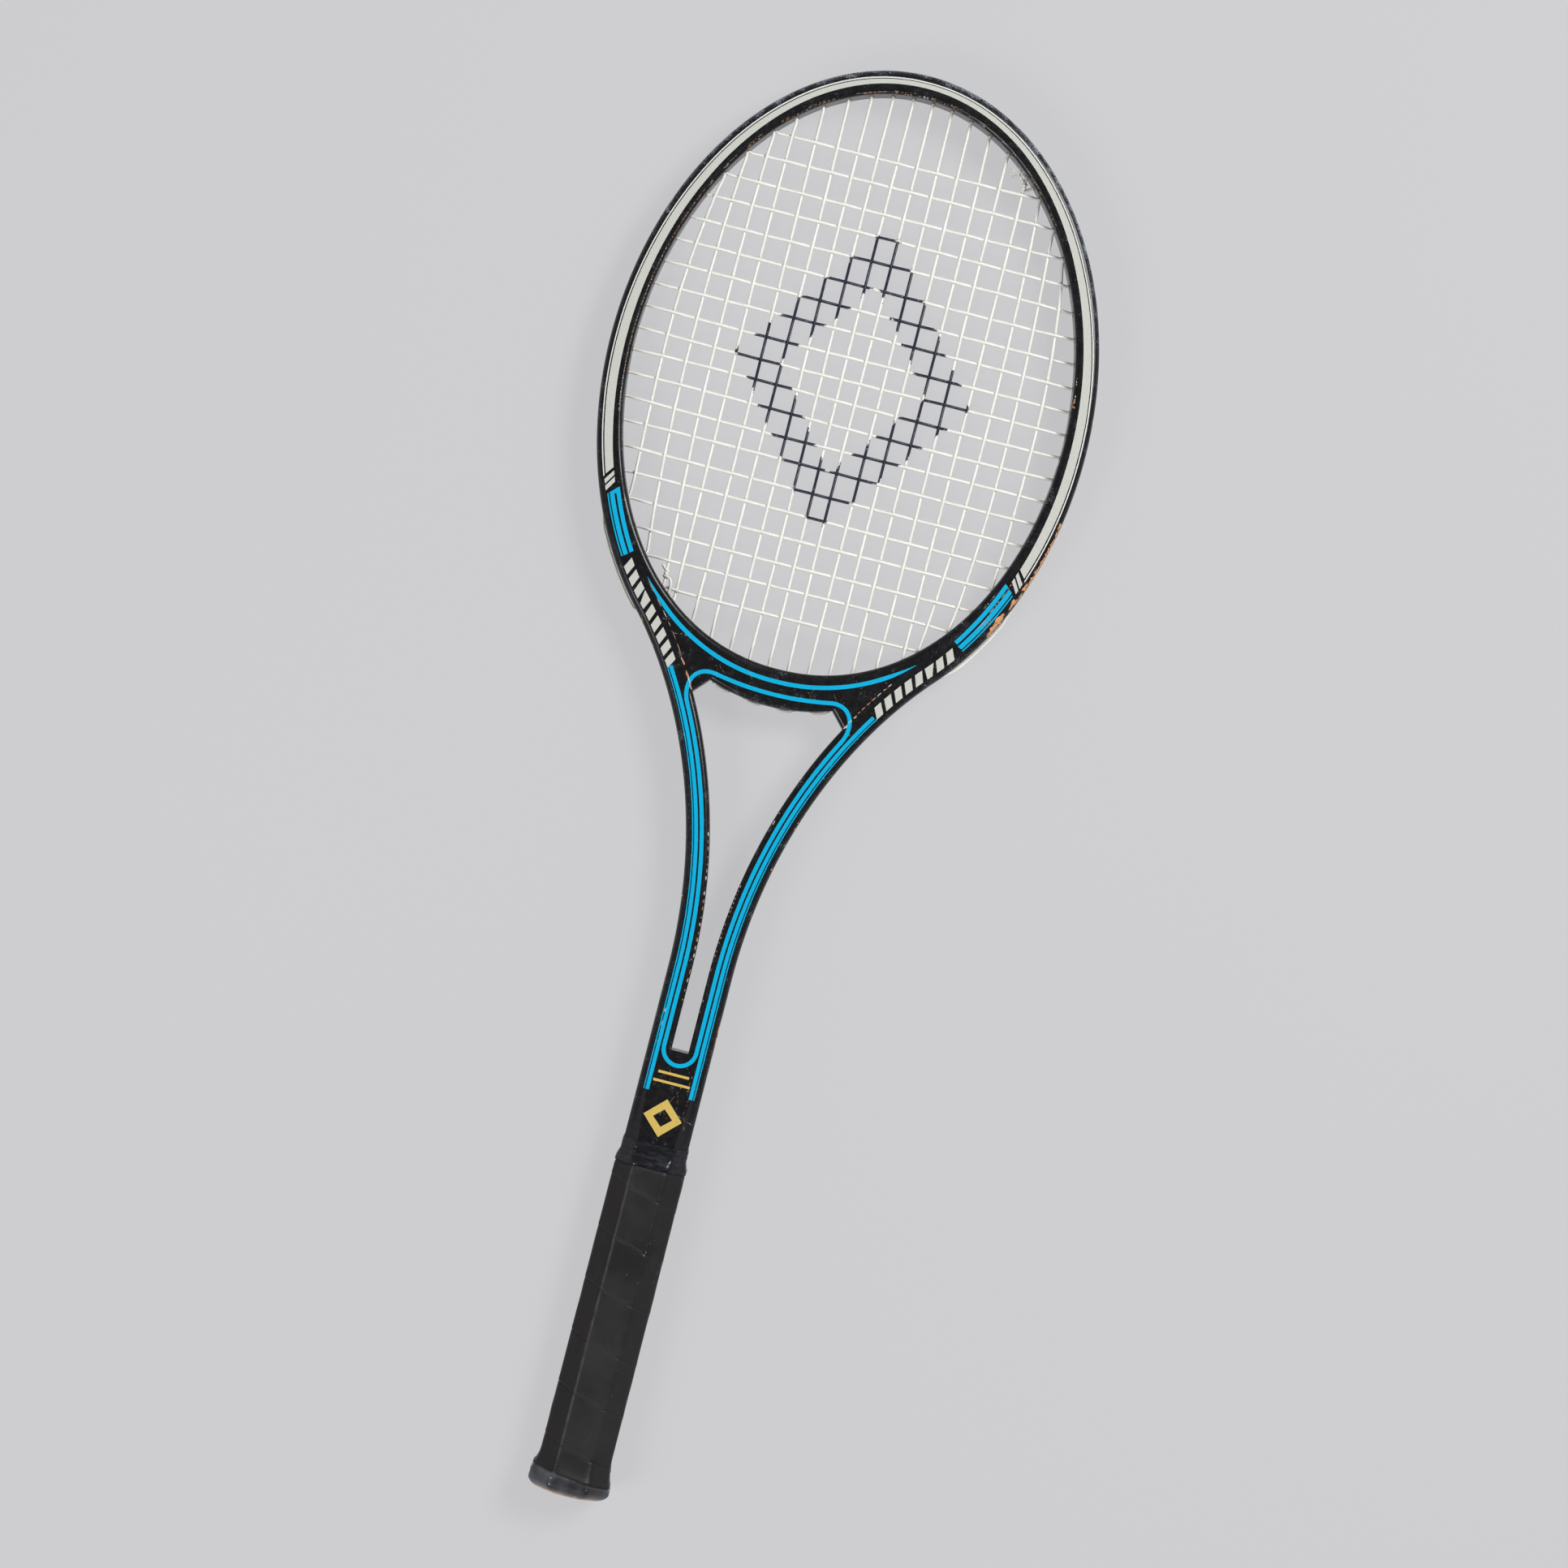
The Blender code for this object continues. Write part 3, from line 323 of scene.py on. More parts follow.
def mesh_of(name, points, faces, smooth_angle, closed=True):
    """Mesh of points in racket coordinates; a closed one has its faces turned outwards."""
    mesh = bpy.data.meshes.new(name)
    mesh.from_pydata(in_row(points).tolist(), [], faces)
    mesh.validate()
    if closed:
        bm = bmesh.new()
        bm.from_mesh(mesh)
        bmesh.ops.remove_doubles(bm, verts=bm.verts, dist=1e-7)
        bmesh.ops.recalc_face_normals(bm, faces=bm.faces)
        bm.to_mesh(mesh)
        bm.free()
    mesh.shade_smooth()
    mesh.set_sharp_from_angle(angle=math.radians(smooth_angle))
    return mesh


def loft(name, rings, smooth_angle):
    """Capped mesh over rings of equal count, each ring closed on itself."""
    rings = np.asarray(rings, float)
    count, size = rings.shape[:2]
    index = np.arange(count * size).reshape(count, size)
    after = np.roll(index, -1, 1)
    quads = np.stack((index[:-1], after[:-1], after[1:], index[1:]), -1).reshape(-1, 4)
    faces = quads.tolist() + [index[0][::-1].tolist(), index[-1].tolist()]
    return mesh_of(name, rings.reshape(-1, 3), faces, smooth_angle)


def paint_value(mesh, name, values):
    """One value for each point, for a material to read."""
    attribute = mesh.attributes.new(name, "FLOAT", "POINT")
    attribute.data.foreach_set("value", np.asarray(values, np.float32))


def racket_points(mesh):
    """The mesh's points in racket coordinates."""
    points = np.zeros(len(mesh.vertices) * 3, np.float32)
    mesh.vertices.foreach_get("co", points)
    return points.reshape(-1, 3).astype(float) - PLACE_IN_ROW


def place_piece(name, mesh, material, slot, *replaced):
    """The finished piece: its material, its body and the solids it stands for. The slot is not used."""
    mesh.materials.clear()
    mesh.materials.append(material)
    piece = bpy.data.objects.new(name, mesh)
    bpy.context.scene.collection.objects.link(piece)
    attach(piece, "root")
    if replaced:
        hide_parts(*replaced)


# Node and shader helpers

FLOAT_SOCKET = "NodeSocketFloat"
INTEGER_SOCKET = "NodeSocketInt"
VECTOR_SOCKET = "NodeSocketVector"
COLOUR_SOCKET = "NodeSocketColor"


class Nodes:
    """Small builder for a node tree."""

    def __init__(self, tree):
        self.tree = tree

    def feed(self, socket, value):
        if isinstance(value, bpy.types.NodeSocket):
            self.tree.links.new(value, socket)
        elif value is not None:
            socket.default_value = value

    def add(self, kind, inputs=(), **settings):
        """New node with its settings, then its inputs by name or number."""
        node = self.tree.nodes.new(kind)
        for key, value in settings.items():
            setattr(node, key, value)
        for key, value in dict(inputs).items():
            self.feed(node.inputs[key], value)
        return node


class Shader(Nodes):
    """Builder for a material, a world or a shader group; its patterns follow the coordinates in where."""

    def __init__(self, tree, where=None):
        super().__init__(tree)
        self.where = where

    def math(self, operation, *values):
        return self.add("ShaderNodeMath", enumerate(values), operation=operation).outputs[0]

    def times(self, first, second):
        return self.math("MULTIPLY", first, second)

    def plus(self, first, second):
        return self.math("ADD", first, second)

    def noise(self, scale, detail=3.0, roughness=0.55, distortion=0.0, where=None):
        values = {"Vector": where or self.where, "Scale": scale, "Detail": detail, "Roughness": roughness,
                  "Distortion": distortion}
        return self.add("ShaderNodeTexNoise", values).outputs[0]

    def remap(self, value, low, high, to_low=0.0, to_high=1.0, kind="LINEAR"):
        values = enumerate((value, low, high, to_low, to_high))
        return self.add("ShaderNodeMapRange", values, interpolation_type=kind).outputs[0]

    def mix(self, factor, first, second):
        """Blend of two colours, each of three parts or a socket."""
        first, second = [(*item, 1.0) if isinstance(item, tuple) else item for item in (first, second)]
        return self.add("ShaderNodeMix", {0: factor, 6: first, 7: second}, data_type="RGBA").outputs[2]

    def layer(self, below, colour, mask, amount):
        """A colour laid by some amount over what is below, where the mask shows it."""
        return self.mix(self.times(mask, amount), below, colour)

    def mapping(self, scale, rotation=(0.0, 0.0, 0.0)):
        values = {"Vector": self.where, "Rotation": rotation, "Scale": scale}
        return self.add("ShaderNodeMapping", values).outputs[0]

    def split(self):
        return self.add("ShaderNodeSeparateXYZ", {0: self.where}).outputs

    def attribute(self, name):
        return self.add("ShaderNodeAttribute", attribute_name=name).outputs["Fac"]

    def bump(self, height, strength, distance):
        values = {"Strength": strength, "Distance": distance, "Height": height}
        return self.add("ShaderNodeBump", values).outputs[0]

    def scuffs(self, fine_scale, patch_scale, amount, where=None):
        """Mask of specks or nicks."""
        values = {"Vector": where or self.where, "Fine Scale": fine_scale, "Patch Scale": patch_scale,
                  "Amount": amount}
        return self.add("ShaderNodeGroup", values, node_tree=scuff_group()).outputs["Mask"]

    def grain(self, fibre_scale, light, dark):
        """Colour and height of bare wood."""
        values = {"Vector": self.where, "Fibre Scale": fibre_scale, "Light": (*light, 1.0),
                  "Dark": (*dark, 1.0)}
        return self.add("ShaderNodeGroup", values, node_tree=grain_group()).outputs


class Finish(Shader):
    """Builder for one material, patterned on the piece's own coordinates."""

    def __init__(self, name):
        self.material = bpy.data.materials.new(name + "_finish")
        self.material.use_nodes = True
        super().__init__(self.material.node_tree)
        self.where = self.add("ShaderNodeTexCoord").outputs["Object"]

    def done(self, **values):
        """Sets or links the sockets of the material's own shader."""
        surface = self.tree.nodes["Principled BSDF"].inputs
        for name, value in values.items():
            self.feed(surface[name.replace("_", " ")], value)
        return self.material


def new_group(name, inputs, outputs):
    """Builder for an empty shader group, and its given and wanted sockets."""
    tree = bpy.data.node_groups.new(name, "ShaderNodeTree")
    for label, kind, default in inputs:
        socket = tree.interface.new_socket(label, in_out="INPUT", socket_type=kind)
        if default is not None:
            socket.default_value = default
    for label, kind in outputs:
        tree.interface.new_socket(label, in_out="OUTPUT", socket_type=kind)
    shader = Shader(tree)
    given = shader.add("NodeGroupInput").outputs
    shader.where = given["Vector"]
    return shader, given, shader.add("NodeGroupOutput").inputs


@cache
def scuff_group():
    """Specks and short nicks: Mask is 1 where the surface is knocked away."""
    shader, given, result = new_group(
        "Scuffs",
        [("Vector", VECTOR_SOCKET, None), ("Fine Scale", FLOAT_SOCKET, 1500.0),
         ("Patch Scale", FLOAT_SOCKET, 90.0), ("Amount", FLOAT_SOCKET, 0.1)],
        [("Mask", FLOAT_SOCKET)],
    )
    fine = shader.noise(given["Fine Scale"], 4.0, 0.65)
    patch = shader.noise(given["Patch Scale"], 3.0, 0.6)
    both = shader.times(fine, shader.remap(patch, 0.25, 0.75, 0.72, 1.25))
    level = shader.math("SUBTRACT", 0.86, shader.times(given["Amount"], 0.6))
    shader.feed(result["Mask"], shader.remap(both, level, shader.plus(level, 0.05)))
    return shader.tree


@cache
def grain_group():
    """Straight grain of split ash, running along Y."""
    shader, given, result = new_group(
        "Wood Grain",
        [("Vector", VECTOR_SOCKET, None), ("Fibre Scale", FLOAT_SOCKET, 900.0),
         ("Light", COLOUR_SOCKET, (0.78, 0.36, 0.15, 1.0)),
         ("Dark", COLOUR_SOCKET, (0.30, 0.11, 0.04, 1.0))],
        [("Colour", COLOUR_SOCKET), ("Height", FLOAT_SOCKET)],
    )
    fibres = shader.noise(given["Fibre Scale"], 4.0, 0.6, where=shader.mapping((1.0, 0.08, 1.0)))
    share = shader.remap(fibres, 0.3, 0.7)
    shader.feed(result["Colour"], shader.mix(share, given["Dark"], given["Light"]))
    shader.feed(result["Height"], share)
    return shader.tree


def shade(colour, share):
    """A colour made darker or lighter."""
    return tuple(part * share for part in colour)


def looks():
    """The settings that a user can change."""
    return bpy.context.scene.racket_looks


@cache
def lacquer():
    """Black lacquer with specks, nicks and hairs, most of them near the edges."""
    shader = Finish("black_lacquer")
    near_edge = shader.attribute("edge_wear")
    specks = shader.scuffs(2300.0, 160.0, shader.plus(shader.times(near_edge, 0.42), 0.23))
    nicks = shader.scuffs(2600.0, 45.0, shader.plus(shader.times(near_edge, 0.30), 0.20),
                          shader.mapping((1.0, 0.16, 1.0)))
    hairs = shader.scuffs(3000.0, 60.0, 0.24, shader.mapping((0.05, 1.0, 1.0), (0.0, 0.0, 0.9)))
    dust = shader.noise(320.0, 5.0, 0.7)
    body = shader.mix(shader.remap(dust, 0.40, 0.9, 0.0, 0.30), tuple(looks().lacquer_colour),
                      (0.024, 0.025, 0.028))
    haze = shader.times(near_edge, shader.remap(shader.noise(900.0, 4.0, 0.7), 0.35, 0.75))
    body = shader.layer(body, (0.046, 0.054, 0.070), haze, 0.65)
    body = shader.layer(body, (0.15, 0.16, 0.18), hairs, 0.5)
    body = shader.layer(body, (0.26, 0.25, 0.24), nicks, 0.5)
    body = shader.layer(body, (0.42, 0.47, 0.54), specks, 0.8)
    rough = shader.plus(shader.remap(dust, 0.3, 0.8, 0.20, 0.36), shader.times(specks, 0.4))
    ripple = shader.times(shader.noise(240.0, 2.0), 0.25)
    height = shader.math("SUBTRACT", ripple, shader.plus(specks, nicks))
    return shader.done(Base_Color=body, Roughness=rough, Specular_IOR_Level=0.34, Coat_Weight=0.05,
                       Coat_Roughness=0.10, Normal=shader.bump(height, 0.35, 0.00012))


def paint(name, colour, roughness, metallic=0.0, worn=0.12):
    """A painted or foil line on the lacquer, with the lacquer showing through where it is rubbed."""
    shader = Finish(name)
    rubbed = shader.scuffs(1900.0, 55.0, worn)
    fade = shader.noise(1600.0)
    body = shader.mix(shader.remap(fade, 0.3, 0.7), colour, shade(colour, 0.88))
    body = shader.layer(body, (0.03, 0.028, 0.03), rubbed, 0.85)
    rough = shader.remap(fade, 0.3, 0.7, roughness * 0.85, roughness * 1.2)
    return shader.done(Base_Color=body, Roughness=rough, Metallic=metallic, Specular_IOR_Level=0.3,
                       Normal=shader.bump(rubbed, -0.3, 0.00006))


def bare_wood():
    """Wood where the lacquer is chipped off."""
    shader = Finish("bare_ash")
    light = tuple(looks().wood_colour)
    grain = shader.grain(1300.0, light, shade(light, 0.62))
    body = shader.layer(grain["Colour"], (0.03, 0.02, 0.015), shader.scuffs(900.0, 160.0, 0.36), 0.9)
    return shader.done(Base_Color=body, Roughness=0.72, Normal=shader.bump(grain["Height"], 0.5, 0.0001))


def rubbed_crack():
    """Hair cracks and rubbed edges: partly bare wood, partly pale dust."""
    shader = Finish("rubbed_crack")
    grain = shader.grain(1300.0, looks().wood_colour, (0.30, 0.14, 0.07))
    pale = shader.remap(shader.noise(210.0, 4.0, 0.6), 0.47, 0.59)
    return shader.done(Base_Color=shader.mix(pale, grain["Colour"], (0.65, 0.63, 0.60)), Roughness=0.7)


def string_nylon():
    """Cream string with a hollow diamond inked across the bed."""
    shader = Finish("cream_string")
    settings = looks()
    x, y, _ = shader.split()
    across = shader.math("DIVIDE", shader.math("ABSOLUTE", x), settings.ink_width / 2)
    from_middle = shader.math("SUBTRACT", y, settings.ink_centre - LENGTH / 2)
    along = shader.math("DIVIDE", shader.math("ABSOLUTE", from_middle), settings.ink_length / 2)
    ragged = shader.remap(shader.noise(420.0, 3.0, 0.7), 0.3, 0.7, -0.03, 0.03)
    rim = shader.plus(shader.plus(across, along), ragged)
    ink = shader.remap(shader.math("ABSOLUTE", shader.math("SUBTRACT", rim, 0.80)), 0.20, 0.185)
    worn = shader.remap(shader.noise(900.0, 4.0, 0.7), 0.62, 0.72, 1.0, 0.25)
    cream = tuple(settings.string_colour)
    thread = shader.noise(260.0, 4.0, 0.6)
    body = shader.mix(shader.remap(thread, 0.35, 0.75), cream, shade(cream, 0.88))
    body = shader.layer(body, (0.2, 0.16, 0.11), shader.scuffs(1200.0, 40.0, 0.2), 0.5)
    body = shader.layer(body, tuple(settings.ink_colour), ink, worn)
    return shader.done(Base_Color=body, Roughness=shader.remap(thread, 0.3, 0.7, 0.28, 0.45),
                       Normal=shader.bump(shader.noise(2600.0, 2.0), 0.12, 0.00008))


def grip_leather():
    """Dark pored leather, browner and a little darker on its left facets, with a pale bluish line along the
    left crease.
    """
    shader = Finish("grip_leather")
    pores = shader.add("ShaderNodeTexVoronoi", {"Vector": shader.where, "Scale": 1400.0}, feature="F1")
    creases = shader.noise(180.0, 6.0, 0.62, 0.8, shader.mapping((1.0, 0.5, 1.0)))
    patches = shader.noise(38.0, 3.0, 0.6)
    near_corner = shader.attribute("corner_wear")
    colour = tuple(looks().leather_colour)
    body = shader.mix(shader.remap(patches, 0.35, 0.7), colour, shade(colour, 1.9))
    x = shader.split()[0]
    blotches = shader.remap(shader.noise(60.0), 0.35, 0.6, 0.3, 0.8)
    # Left facets only: browner and a little darker
    left_facet_tint = shader.times(shader.remap(x, -0.0080, -0.0110), blotches)
    body = shader.mix(left_facet_tint, body, (0.0115, 0.0078, 0.0078))
    # Pale bluish line along the left crease, inside its rounding
    crease_line = shader.times(shader.remap(x, -0.0060, -0.0070), shader.remap(near_corner, 0.75, 0.95))
    crease_line = shader.times(crease_line, shader.remap(x, -0.0110, -0.0095))
    patchy = shader.remap(shader.noise(130.0, 4.0, 0.65), 0.35, 0.6, 0.15, 0.8)
    body = shader.layer(body, (0.065, 0.067, 0.077), crease_line, patchy)
    body = shader.layer(body, (0.05, 0.047, 0.045), shader.remap(creases, 0.58, 0.75), 0.22)
    marks = shader.scuffs(700.0, 36.0, shader.plus(shader.times(near_corner, 0.1), 0.20),
                          shader.mapping((1.0, 0.45, 1.0)))
    body = shader.layer(body, (0.20, 0.19, 0.19), marks, 0.5)
    height = shader.plus(shader.times(pores.outputs["Distance"], 0.35), creases)
    return shader.done(Base_Color=body, Roughness=shader.remap(patches, 0.3, 0.7, 0.40, 0.60),
                       Specular_IOR_Level=0.28, Normal=shader.bump(height, 0.20, 0.00030))


def glossy_tape():
    """Black tape with slanting streaks."""
    shader = Finish("glossy_tape")
    aslant = (0.0, 0.0, 0.35)
    streaks = shader.noise(500.0, 5.0, 0.6, where=shader.mapping((0.35, 1.0, 1.0), aslant))
    marks = shader.scuffs(2200.0, 70.0, 0.14, shader.mapping((0.12, 1.0, 1.0), aslant))
    body = shader.mix(shader.remap(streaks, 0.42, 0.72, 0.0, 0.7), (0.008, 0.008, 0.011),
                      (0.030, 0.032, 0.040))
    body = shader.layer(body, (0.3, 0.3, 0.32), marks, 0.5)
    return shader.done(Base_Color=body, Roughness=shader.remap(streaks, 0.3, 0.7, 0.14, 0.34),
                       Specular_IOR_Level=0.3, Coat_Weight=0.1, Coat_Roughness=0.12,
                       Normal=shader.bump(streaks, 0.35, 0.0003))


def butt_lacquer():
    """Black over ash, rubbed through to the wood round the end, with painted highlight patches of pale
    bluish grey.
    """
    shader = Finish("butt_lacquer")
    ragged = shader.noise(380.0, 5.0, 0.7)
    near_rim = shader.plus(shader.attribute("rim_wear"), shader.remap(ragged, 0.25, 0.75, -0.42, 0.42))
    bare = shader.remap(near_rim, 0.52, 0.60)
    light = tuple(looks().wood_colour)
    grain = shader.grain(1100.0, light, shade(light, 0.5))
    # Painted highlight: noise patches of pale bluish grey stand in for soft reflections on the flare
    painted_highlight_patches = shader.remap(shader.noise(75.0, 2.0, 0.5), 0.46, 0.62, 0.0, 0.85)
    body = shader.mix(shader.remap(ragged, 0.35, 0.75), (0.008, 0.008, 0.010), (0.022, 0.022, 0.025))
    body = shader.mix(painted_highlight_patches, body, (0.075, 0.080, 0.096))
    body = shader.layer(body, (0.3, 0.28, 0.26), shader.scuffs(1000.0, 80.0, 0.2), 0.6)
    body = shader.mix(bare, body, grain["Colour"])
    height = shader.math("SUBTRACT", ragged, bare)
    return shader.done(Base_Color=body, Roughness=shader.remap(bare, 0.0, 1.0, 0.34, 0.6), Coat_Weight=0.35,
                       Coat_Roughness=0.15, Normal=shader.bump(height, 0.4, 0.00025))


def hole_shadow():
    """Painted shade for a drilled hole: dark wood grain on a flat disc, where no hollow is cut."""
    shader = Finish("drilled_hole")
    grain = shader.grain(1500.0, (0.05, 0.03, 0.018), (0.008, 0.006, 0.005))
    return shader.done(Base_Color=grain["Colour"], Roughness=0.8)


# Lacquered frame

def bow_section(place, edge):
    """Closed ring of (depth, height) round the bow, with the string groove in its outside."""
    y_outer = float(outline([place])[0][0, 1])
    y_inner = float(inside([place], BOW_WIDTH)[0, 1])
    y = (y_outer + y_inner) / 2
    groove = groove_depth(y_outer)
    wall = GROOVE_WIDTH / 2
    lip = 0.0004
    side = [(groove, 0.0), (groove, wall - 0.0003), (groove * 0.86, wall),
            (lip * groove / GROOVE_DEPTH, wall), (0.0, wall + lip),
            (0.0, (wall + half_depth(y) - OUTER_EDGE_RADIUS) / 2)]
    depths = [OUTER_EDGE_RADIUS * (1.0 - math.cos(math.pi / 2 * i / 10)) for i in range(11)]
    depths += FLAT_FACE_DEPTHS
    depths += [BOW_WIDTH - INNER_EDGE_RADIUS * (1.0 - math.sin(math.pi / 2 * i / 7)) for i in range(8)]
    side += [(depth, float(bow_height(depth, y, edge))) for depth in depths]
    side.append((BOW_WIDTH, float(bow_height(BOW_WIDTH, y, edge)) * 0.5))
    back = [(depth, -height) for depth, height in reversed(side[1:])]
    return side + [(BOW_WIDTH, 0.0)] + back


def groove_depth(y):
    """Depth of the string groove, which runs out on the shafts."""
    return GROOVE_DEPTH * float(ramp01(y, GROOVE_END_Y, GROOVE_END_Y + GROOVE_RUNOUT))


def bow_wear(x, y, z):
    """How far an edge is rubbed: most round the tip, some low on the right, little on the outer wall."""
    depth, _ = SURFACE.depth_at(x, y)
    outer = max(0.0, 1.0 - depth / 0.0030)
    inner = max(0.0, 1.0 - (BOW_WIDTH - depth) / 0.0016)
    top = 0.25 + 0.75 * max(0.0, min(1.0, (y - 0.56) / 0.08))
    lower_right = 0.35 * math.exp(-((x - 0.09) / 0.03) ** 2 - ((y - 0.44) / 0.05) ** 2)
    if depth < 0.0004 and abs(z) < float(half_depth(y)) - OUTER_EDGE_RADIUS:
        outer *= 0.3
    return outer**0.6 * min(1.0, top + lower_right) + inner * (0.45 if y < LEG_END_Y else 0.25)


def build_bow():
    """Bow from one end of the slot round the head to the other."""
    shaft_end = 3.0 - (SLOT_END_Y - 0.0003) / NECK_Y
    places = np.concatenate((np.linspace(0.0, 1.0, 250), np.linspace(1.0, 2.0, 121)[1:],
                             np.linspace(2.0, shaft_end, 24)[1:]))
    right = []
    for place, edge, point, normal in zip(places, edge_depth(places), *outline(places)):
        section = np.array(bow_section(place, edge))
        right.append(np.column_stack((point - normal * section[:, :1], section[:, 1])))
    left = [ring * (-1.0, 1.0, 1.0) for ring in reversed(right[1:])]
    mesh = loft("bow_lacquer", left + right, 40)
    paint_value(mesh, "edge_wear", [bow_wear(*point) for point in racket_points(mesh)])
    return mesh


def polyline_distance(points, line):
    """Distance of each point to a polyline."""
    best = np.full(len(points), 1.0)
    for start, end in zip(line[:-1], line[1:]):
        run = end - start
        share = np.clip(((points - start) @ run) / (run @ run), 0.0, 1.0)
        best = np.minimum(best, np.linalg.norm(points - start - share[:, None] * run, axis=1))
    return best


def build_bridge():
    """Plate between the shafts: rounded on its string side and its arch, its ends run into the bow."""
    edge, _ = string_edge(np.linspace(-1.5, 1.5, 1200))
    near = np.array([SURFACE.tree.find((abs(x), y, 0.0))[2] for x, y in edge])
    edge = edge[near > BOW_WIDTH + JOINT_GAP][::4]
    places = np.linspace(0.3, 1.4, 800)
    joint_start = float(np.interp(-edge[-1, 1], -inside(places, BOW_WIDTH)[:, 1], places))
    right_joint = inside(np.linspace(joint_start, place_at(LEG_END_Y, BOW_WIDTH), 110), BOW_WIDTH)[1:]
    leg_top = right_joint[-1]
    leg_run = np.array((BRIDGE_CORNER_X, arch_y(BRIDGE_CORNER_X))) - leg_top
    leg = leg_top + np.linspace(0.0, 1.0, 12)[1:, None] * leg_run
    xs = np.linspace(BRIDGE_CORNER_X, -BRIDGE_CORNER_X, 72)[1:]
    arch = np.stack((xs, arch_y(xs)), 1)
    left_leg = leg[::-1][1:] * (-1.0, 1.0)
    left_joint = right_joint[::-1] * (-1.0, 1.0)
    loop = np.concatenate((edge, right_joint, leg, arch, left_leg, left_joint))
    open_line = np.concatenate((right_joint[-1:], leg, arch, left_leg, left_joint[:1]))

    # Rows of points along both roundings, then an even grid for the flat face
    near_edge, near_ways = string_edge(np.linspace(-1.35, 1.35, 420))
    outward = (leg[-1] - leg_top)[::-1] * (1.0, -1.0)
    outward /= np.linalg.norm(outward)
    inner = []
    for offset in (JOINT_GAP, 0.0003, 0.0006, 0.0010, 0.0015, 0.0022, 0.0031):
        half = BRIDGE_CORNER_X - offset * 0.6
        middle = np.linspace(-half, half, 70)
        right_leg = leg_top + np.linspace(0.02, 0.98, 12)[:, None] * leg_run + outward * offset
        inner += [near_edge + near_ways * offset, np.stack((middle, arch_y(middle) + offset), 1),
                  right_leg, right_leg * (-1.0, 1.0)]
    gx, gy = np.meshgrid(np.arange(-0.1, 0.1, BRIDGE_GRID), np.arange(0.378, 0.49, BRIDGE_GRID))
    inner = np.concatenate(inner + [np.stack((gx.ravel(), gy.ravel()), 1)])
    to_joint = np.minimum(polyline_distance(inner, right_joint), polyline_distance(inner, left_joint))
    clear = (polyline_distance(inner, edge) > 0.0001) & (polyline_distance(inner, open_line) > 0.0001)
    inner = inner[clear & (to_joint > 0.0004)]
    coordinates = [Vector(point) for point in np.concatenate((loop, inner))]
    result = geometry.delaunay_2d_cdt(coordinates, [], [list(range(len(loop)))], 1, 1e-6)
    flat = np.array([tuple(point) for point in result[0]])
    faces = [list(face) for face in result[2]]

    height = half_depth(flat[:, 1]) - rounding_drop(polyline_distance(flat, edge), INNER_EDGE_RADIUS)
    height -= rounding_drop(polyline_distance(flat, open_line), INNER_EDGE_RADIUS)
    sides = dict.fromkeys(pair for face in faces for pair in zip(face, face[1:] + face[:1]))
    rim = [(a, b) for a, b in sides if (b, a) not in sides]
    total = len(flat)
    points = np.concatenate((np.column_stack((flat, height)), np.column_stack((flat, -height))))
    back = [[i + total for i in reversed(face)] for face in faces]
    walls = [[b, a, a + total, b + total] for a, b in rim]
    mesh = mesh_of("bridge_lacquer", points, faces + back + walls, 40)
    here = racket_points(mesh)[:, :2]
    wear = 0.30 * np.clip(1.0 - polyline_distance(here, edge) / 0.0022, 0, 1)
    wear += 0.45 * np.clip(1.0 - polyline_distance(here, open_line) / 0.0020, 0, 1)
    paint_value(mesh, "edge_wear", wear)
    return mesh


def build_shoulder():
    """Top of the handle between the tape and the slot, with the four long facets of its cheeks."""
    ys = np.concatenate((np.linspace(SHOULDER_START_Y, SHOULDER_BARE_Y, 30),
                         np.linspace(SHOULDER_BARE_Y, SLOT_END_Y, 150)[1:]))
    rounding = OUTER_EDGE_RADIUS * (1.0 - np.cos(np.linspace(0.0, math.pi / 2, 9)))
    rings = []
    for y in ys:
        crease = max(cheek_crease(y), OUTER_EDGE_RADIUS + 0.0002)
        depths = np.concatenate((rounding, np.linspace(OUTER_EDGE_RADIUS, crease, 5)[1:],
                                 np.linspace(crease, NECK_HALF_WIDTH, 20)[1:]))
        xs = np.concatenate((depths - NECK_HALF_WIDTH, (NECK_HALF_WIDTH - depths[::-1])[1:]))
        level = np.full(len(xs), y)
        face = np.stack((xs, level, shoulder_height(xs, level)), 1)
        rings.append(np.concatenate((face, face[::-1] * (1.0, 1.0, -1.0))))
    mesh = loft("shoulder_lacquer", rings, 18)
    side = np.clip(1.0 - (NECK_HALF_WIDTH - np.abs(racket_points(mesh)[:, 0])) / 0.0025, 0, 1)
    paint_value(mesh, "edge_wear", side * 0.25)
    return mesh


# Painted lines

